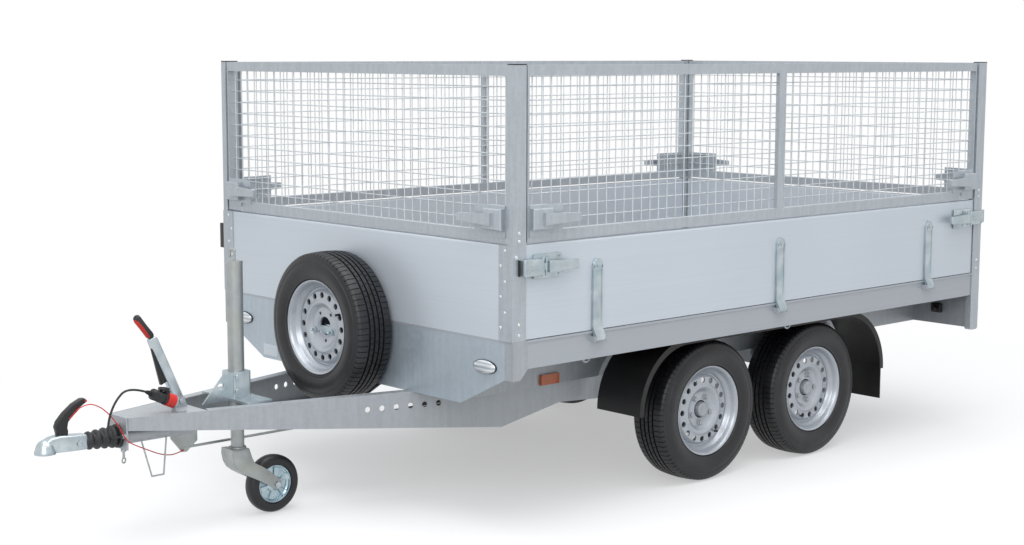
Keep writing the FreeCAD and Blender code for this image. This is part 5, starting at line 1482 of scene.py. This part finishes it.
# %% One strap
def strap():
    """Drawn at the wall x = 0, with its middle at y = 0 and at its true height."""
    outer = BOARD_FACE + 0.011
    neck = STRAP_TOP - STRAP_HALF
    bar = block((BOARD_FACE, -STRAP_HALF, STRAP_FOOT + 0.004), (outer, STRAP_HALF, neck), 0.002)
    head = capped([(BOARD_FACE, STRAP_HALF), (outer - 0.001, STRAP_HALF), (outer, STRAP_HALF - 0.001)], 40)
    head = placed(head, moved(0, 0, neck) @ Matrix.Rotation(QUARTER, 4, "Y"))
    groove = block((outer - 0.0035, -0.018, STRAP_FOOT + 0.028), (outer + 0.004, 0.018, neck), 0.002)
    modify(bar, "BOOLEAN", object=groove, operation="DIFFERENCE", solver="EXACT")
    discard(groove)
    x, z = KNUCKLE_PLACE
    foot = traced([(BOARD_FACE + 0.001, STRAP_FOOT + 0.008), (outer, STRAP_FOOT + 0.008),
                   (x + 0.009, z + 0.009), (x + 0.009, z + 0.003), (x - 0.005, z + 0.008),
                   (-0.0025, STRAP_FOOT + 0.001)], STRAP_HALF)
    knuckle = turned([(-STRAP_HALF, PIN_RADIUS), (-STRAP_HALF, KNUCKLE_RADIUS), (STRAP_HALF, KNUCKLE_RADIUS),
                      (STRAP_HALF, PIN_RADIUS)], 32)
    knuckle = placed(knuckle, moved(x, 0, z) @ Matrix.Rotation(QUARTER, 4, "X"))
    bolt = hexagon(0.009, 0.005, 0.008, 0.007)
    bolt = placed(bolt, moved(outer - 0.0005, 0, neck) @ Matrix.Rotation(QUARTER, 4, "Y"))
    whole = join([bar, head, foot, knuckle, bolt])
    smooth(whole, 35)
    return whole


# %% Put locks and straps on the three boards
def both_ends(side, start, height):
    """Places of a pair of fittings at the two ends of a side: one as drawn, one mirrored."""
    span = (BODY_REAR - BODY_FRONT) / 2 if side in ("left", "right") else SIDE_FACE
    near = moved(0, -span + start, height)
    return [on_side(side, near), on_side(side, Matrix.Scale(-1, 4, (0, 1, 0)) @ near)]


pattern_lock, pattern_strap = lock(), strap()
for node, side in BOARD_SIDES.items():
    locks = [copy_to(pattern_lock, place) for place in both_ends(side, LOCK_STARTS[side], LOCK_MIDDLE)]
    straps = [copy_to(pattern_strap, on_side(side, moved(0, y, 0))) for y in STRAP_PLACES[side]]
    settle(join(locks + straps), f"{node}_locks_and_straps", node, bright_zinc, "zinc_plate",
           f"{node}_fittings")
for pattern in (pattern_lock, pattern_strap):
    discard(pattern)

# %% [markdown]
# ## Rivets
# Blind rivets with low domed heads hold the front posts to the headboard, and the posts to the
# platform. A rivet is a small lathe shape with a few dozen faces. It is drawn once and
# repeated in staggered columns and in pairs.

# %% Rivets
RIVET_RADIUS = 0.006
RIVET_PITCH = 0.110
FLANGE_COLUMNS = ((0.040, 0.0), (0.062, RIVET_PITCH / 2))
POST_INSET = 0.030
ABOVE_MESH_FOOT = (0.008, 0.036)
ABOVE_POST_FOOT = (0.022, 0.060)


def rivet():
    return capped([(-0.0004, RIVET_RADIUS), (0.0008, RIVET_RADIUS), (0.0022, RIVET_RADIUS * 0.75),
                   (0.0028, RIVET_RADIUS * 0.4)], 16)


def flange_rivets():
    """Two staggered columns up the flange of each front post, given as (inset, shift down)."""
    face = low("corner_posts").x
    foot, top = low("headboard").z + 0.025, high("headboard").z - 0.018
    places = []
    for sign in (-1, 1):
        for inset, shift in FLANGE_COLUMNS:
            height = top - shift
            while height > foot:
                place = moved(face, sign * (SIDE_FACE - inset), height)
                places.append(place @ Matrix.Rotation(-QUARTER, 4, "Y"))
                height -= RIVET_PITCH
    return repeated(rivet(), places)


def post_rivets():
    """Pairs at the foot and below the mesh on the outer face of each post."""
    heights = [low("mesh_frame_left").z + rise for rise in ABOVE_MESH_FOOT]
    heights += [low("headboard").z + rise for rise in ABOVE_POST_FOOT]
    places = []
    for sign in (-1, 1):
        for x in (BODY_FRONT + POST_INSET, BODY_REAR - POST_INSET):
            for height in heights:
                places.append(moved(x, sign * SIDE_FACE, height) @ Matrix.Rotation(-sign * QUARTER, 4, "X"))
    return repeated(rivet(), places)


rivets = join([flange_rivets(), post_rivets()])
smooth(rivets, 50)
settle(rivets, "post_rivets", "chassis", rivet_zinc, "zinc_plate")

# %% [markdown]
# ## Caps, a rest and a shade strip on the posts
# Black plastic caps close the tubes of the posts. The lock of the far side rests against a
# black moulded block, which shows past the post. A thin black strip stands in front of the near lock's case:
# painted shade for the shadowed front edge of the case.

# %% Caps, the far rest and the near shade strip
post_high = high("corner_posts")
CAP_LENGTH = 0.063
CAP_WIDTH = 0.031
CAP_PROUD = 0.0009
REST_AND_SHADE_STRIP_END = BODY_FRONT + 0.0275
NEAR_SHADE_STRIP_MIDDLE, NEAR_SHADE_STRIP_HALF = LOCK_MIDDLE, 0.029
FAR_REST_MIDDLE, FAR_REST_HALF = LOCK_MIDDLE - 0.030, 0.0525


def caps_rest_and_shade_strip():
    made = []
    top = high("post_caps").z
    for side in (-1, 1):
        inner, outer = sorted((side * (SIDE_FACE - CAP_WIDTH), side * (SIDE_FACE + CAP_PROUD)))
        for start, end in ((BODY_FRONT - CAP_PROUD, BODY_FRONT + CAP_LENGTH),
                           (BODY_REAR - CAP_LENGTH, BODY_REAR + CAP_PROUD)):
            made.append(block((start, inner, post_high.z + 0.0001), (end, outer, top), 0.0012))
    made.append(block((BODY_FRONT + 0.002, SIDE_FACE + 0.0003, FAR_REST_MIDDLE - FAR_REST_HALF),
                      (REST_AND_SHADE_STRIP_END, SIDE_FACE + 0.036, FAR_REST_MIDDLE + FAR_REST_HALF), 0.002))
    # Near side: a thin black strip before the lock's case, painted shade for the case's shadowed front edge.
    made.append(block((BODY_FRONT + 0.024, -SIDE_FACE - 0.009, NEAR_SHADE_STRIP_MIDDLE - NEAR_SHADE_STRIP_HALF),
                      (REST_AND_SHADE_STRIP_END, -SIDE_FACE - 0.0003, NEAR_SHADE_STRIP_MIDDLE + NEAR_SHADE_STRIP_HALF), 0.001))
    whole = join(made)
    smooth(whole, 35)
    return whole


settle(caps_rest_and_shade_strip(), "caps_lock_rest_and_shade_strip", "chassis", black_nylon, "black_plastic", "post_caps")

# %% Bolts beside the front locks
lock_side_bolt = capped([(-0.0005, 0.0085), (0.0015, 0.0085), (0.002, 0.0065), (0.006, 0.0060),
                    (0.007, 0.0045)], 20)
lock_side_bolts = repeated(lock_side_bolt, [moved(BODY_FRONT + 0.014, side * SIDE_FACE, LOCK_MIDDLE + 0.038)
                                  @ Matrix.Rotation(-side * QUARTER, 4, "X") for side in (-1, 1)])
smooth(lock_side_bolts, 40)
settle(lock_side_bolts, "lock_side_bolts", "chassis", rivet_zinc, "zinc_plate")

# %% [markdown]
# ## Lamps, plate and connector
# The front lamps are oval lenses in a dark gasket. A blank plate sits low on the front sheet,
# and a black connector hangs at the rear left corner, where the wiring goes to the lamps.

# %% Gaskets of the front lamps
lamp_low, lamp_high = low("front_lamps"), high("front_lamps")
LAMP_HEIGHT = (lamp_low.z + lamp_high.z) / 2
LAMP_SIDE = SIDE_FACE - 0.145
GASKET_OVAL = (0.0595, 0.0245)
LENS_OVAL = (0.0590, 0.0240)


def squeezed(piece, half_length, half_height):
    """Makes an oval piece of a round one that is drawn about Z with a radius of 1."""
    piece.scale = (half_length, half_height, 1)
    only(piece)
    apply_place()
    smooth(piece, 40)
    return piece


def lamp_gasket():
    """An oval ring round the lens."""
    ring = turned([(0, 1.0), (0, 1.045), (0.004, 1.045), (0.0055, 1.03), (0.0055, 1.0)], 56)
    return squeezed(ring, *GASKET_OVAL)


gasket_turn = Matrix.Rotation(-QUARTER, 4, "Y") @ Matrix.Rotation(QUARTER, 4, "Z")
lamp_places = [moved(BODY_FRONT + 0.0001, sign * LAMP_SIDE, LAMP_HEIGHT) @ gasket_turn for sign in (-1, 1)]
gaskets = repeated(lamp_gasket(), lamp_places)
settle(gaskets, "lamp_gaskets", "chassis", black_nylon, "black_plastic")


# %% Oval lenses of the front lamps
def lamp_lens():
    """A shallow dome that fills the oval of the gasket."""
    dome = capped([(0, 1.01), (0.007, 1.0), (0.0105, 0.93), (0.0125, 0.8), (0.0138, 0.5)], 56)
    return squeezed(dome, *LENS_OVAL)


settle(repeated(lamp_lens(), lamp_places), "lamp_lenses", "chassis", lamp_glass, "lamp_clear", "front_lamps")

# %% Blank plate
PLATE_INNER, PLATE_OUTER = 0.527, 0.628
PLATE_FOOT, PLATE_TOP = 0.474, 0.521
plate = block((BODY_FRONT - 0.0018, PLATE_INNER, PLATE_FOOT), (BODY_FRONT + 0.0002, PLATE_OUTER, PLATE_TOP),
              0.0006)
settle(plate, "blank_plate", "chassis", board_aluminium, "anodised_aluminium")

# %% Black connector at the rear left corner
CONNECTOR_PLACE = (BODY_FRONT + 2.897, -0.728, 0.535)
housing = block((-0.018, -0.026, -0.020), (0.018, 0.026, 0.022), 0.004, 3)
nose = capped([(0.016, 0.013), (0.034, 0.0115), (0.036, 0.009)], 24)
nose = placed(nose, Matrix.Rotation(-QUARTER, 4, "Y"))
connector = placed(join([housing, nose]), moved(*CONNECTOR_PLACE))
smooth(connector, 35)
settle(connector, "rear_connector", "chassis", black_nylon, "black_plastic")

# %% [markdown]
# ## Floor, light and background
# The photograph shows the trailer cut out on white. The floor is a plain matt plane that
# fades into the white background some metres out, and keeps the soft shadow under the
# trailer. For light that bounces softly the floor is a mid grey, so that undersides stay darker
# than the sides. Two large lamps and an even sky give a flat studio light.

# %% White for the camera, mirrors and glass alone
def white_to_the_eye(tree):
    """1 for rays from the camera, mirrors and glass, and 0 for light that bounces softly."""
    rays = add(tree, "ShaderNodeLightPath").outputs
    pair = add(tree, "ShaderNodeMath", {0: rays["Is Camera Ray"], 1: rays["Is Glossy Ray"]},
               operation="MAXIMUM")
    return add(tree, "ShaderNodeMath", {0: pair.outputs[0], 1: rays["Is Transmission Ray"]},
               operation="MAXIMUM").outputs[0]


# %% Floor
FLOOR_SIZE = 120
FADE_START = 1.9
FADE_END = 3.6
FADE_LEAST = 0.45
FADE_SQUEEZE = (0.8, 1.15, 0)
PAPER_SEEN, PAPER_IN_BOUNCES = "#F4F4F4", "#A0A0A0"


def stage_floor():
    plane = begin("plane", size=FLOOR_SIZE, location=(0, 0, 0))
    plane.name = "stage_floor"
    material = bpy.data.materials.new("matt_white_floor")
    material.use_nodes = True
    tree = material.node_tree
    tree.nodes.clear()
    place = add(tree, "ShaderNodeTexCoord").outputs["Object"]
    flat = add(tree, "ShaderNodeVectorMath", {0: place, 1: FADE_SQUEEZE}, operation="MULTIPLY")
    far = add(tree, "ShaderNodeVectorMath", {0: flat.outputs[0]}, operation="LENGTH").outputs["Value"]
    fade = between(tree, far, FADE_START, FADE_END, FADE_LEAST, 1.0)
    seen = add(tree, "ShaderNodeMath", {0: fade, 1: white_to_the_eye(tree)}, operation="MULTIPLY").outputs[0]
    paper = blend_colours(tree, white_to_the_eye(tree), PAPER_IN_BOUNCES, PAPER_SEEN)
    matt = add(tree, "ShaderNodeBsdfDiffuse", {"Color": paper}).outputs[0]
    white = add(tree, "ShaderNodeEmission", {"Color": (1, 1, 1, 1), "Strength": 1.0}).outputs[0]
    both = add(tree, "ShaderNodeMixShader", {0: seen, 1: matt, 2: white}).outputs[0]
    add(tree, "ShaderNodeOutputMaterial", {"Surface": both})
    plane.data.materials.append(material)


stage_floor()
print("the floor fades to white between", FADE_START, "and", FADE_END, "metres")


# %% Sky
SKY_STRENGTH = 0.76


def sky():
    world = bpy.data.worlds.new("studio")
    bpy.context.scene.world = world
    world.use_nodes = True
    tree = world.node_tree
    tree.nodes.clear()
    light = add(tree, "ShaderNodeBackground",
                {"Color": linear("#EFF3F8"), "Strength": SKY_STRENGTH}).outputs[0]
    white = add(tree, "ShaderNodeBackground", {"Color": (1, 1, 1, 1), "Strength": 1.0}).outputs[0]
    both = add(tree, "ShaderNodeMixShader", {0: white_to_the_eye(tree), 1: light, 2: white}).outputs[0]
    add(tree, "ShaderNodeOutputWorld", {"Surface": both})


sky()
print("sky strength:", SKY_STRENGTH)


# %% Lamps
def lamp(name, place, target, size, watts):
    bpy.ops.object.light_add(type="AREA", location=place)
    made = bpy.context.object
    made.name = name
    made.data.size = size
    made.data.energy = watts
    made.rotation_euler = (Vector(target) - Vector(place)).to_track_quat("-Z", "Y").to_euler()


lamp("overhead_softbox", place=(-0.5, -1.0, 6.0), target=(0, 0, 0.8), size=6.0, watts=320)
lamp("front_softbox", place=(-6.0, -5.0, 4.5), target=(0, 0, 0.9), size=4.0, watts=200)
bpy.context.scene.view_settings.view_transform = "Standard"
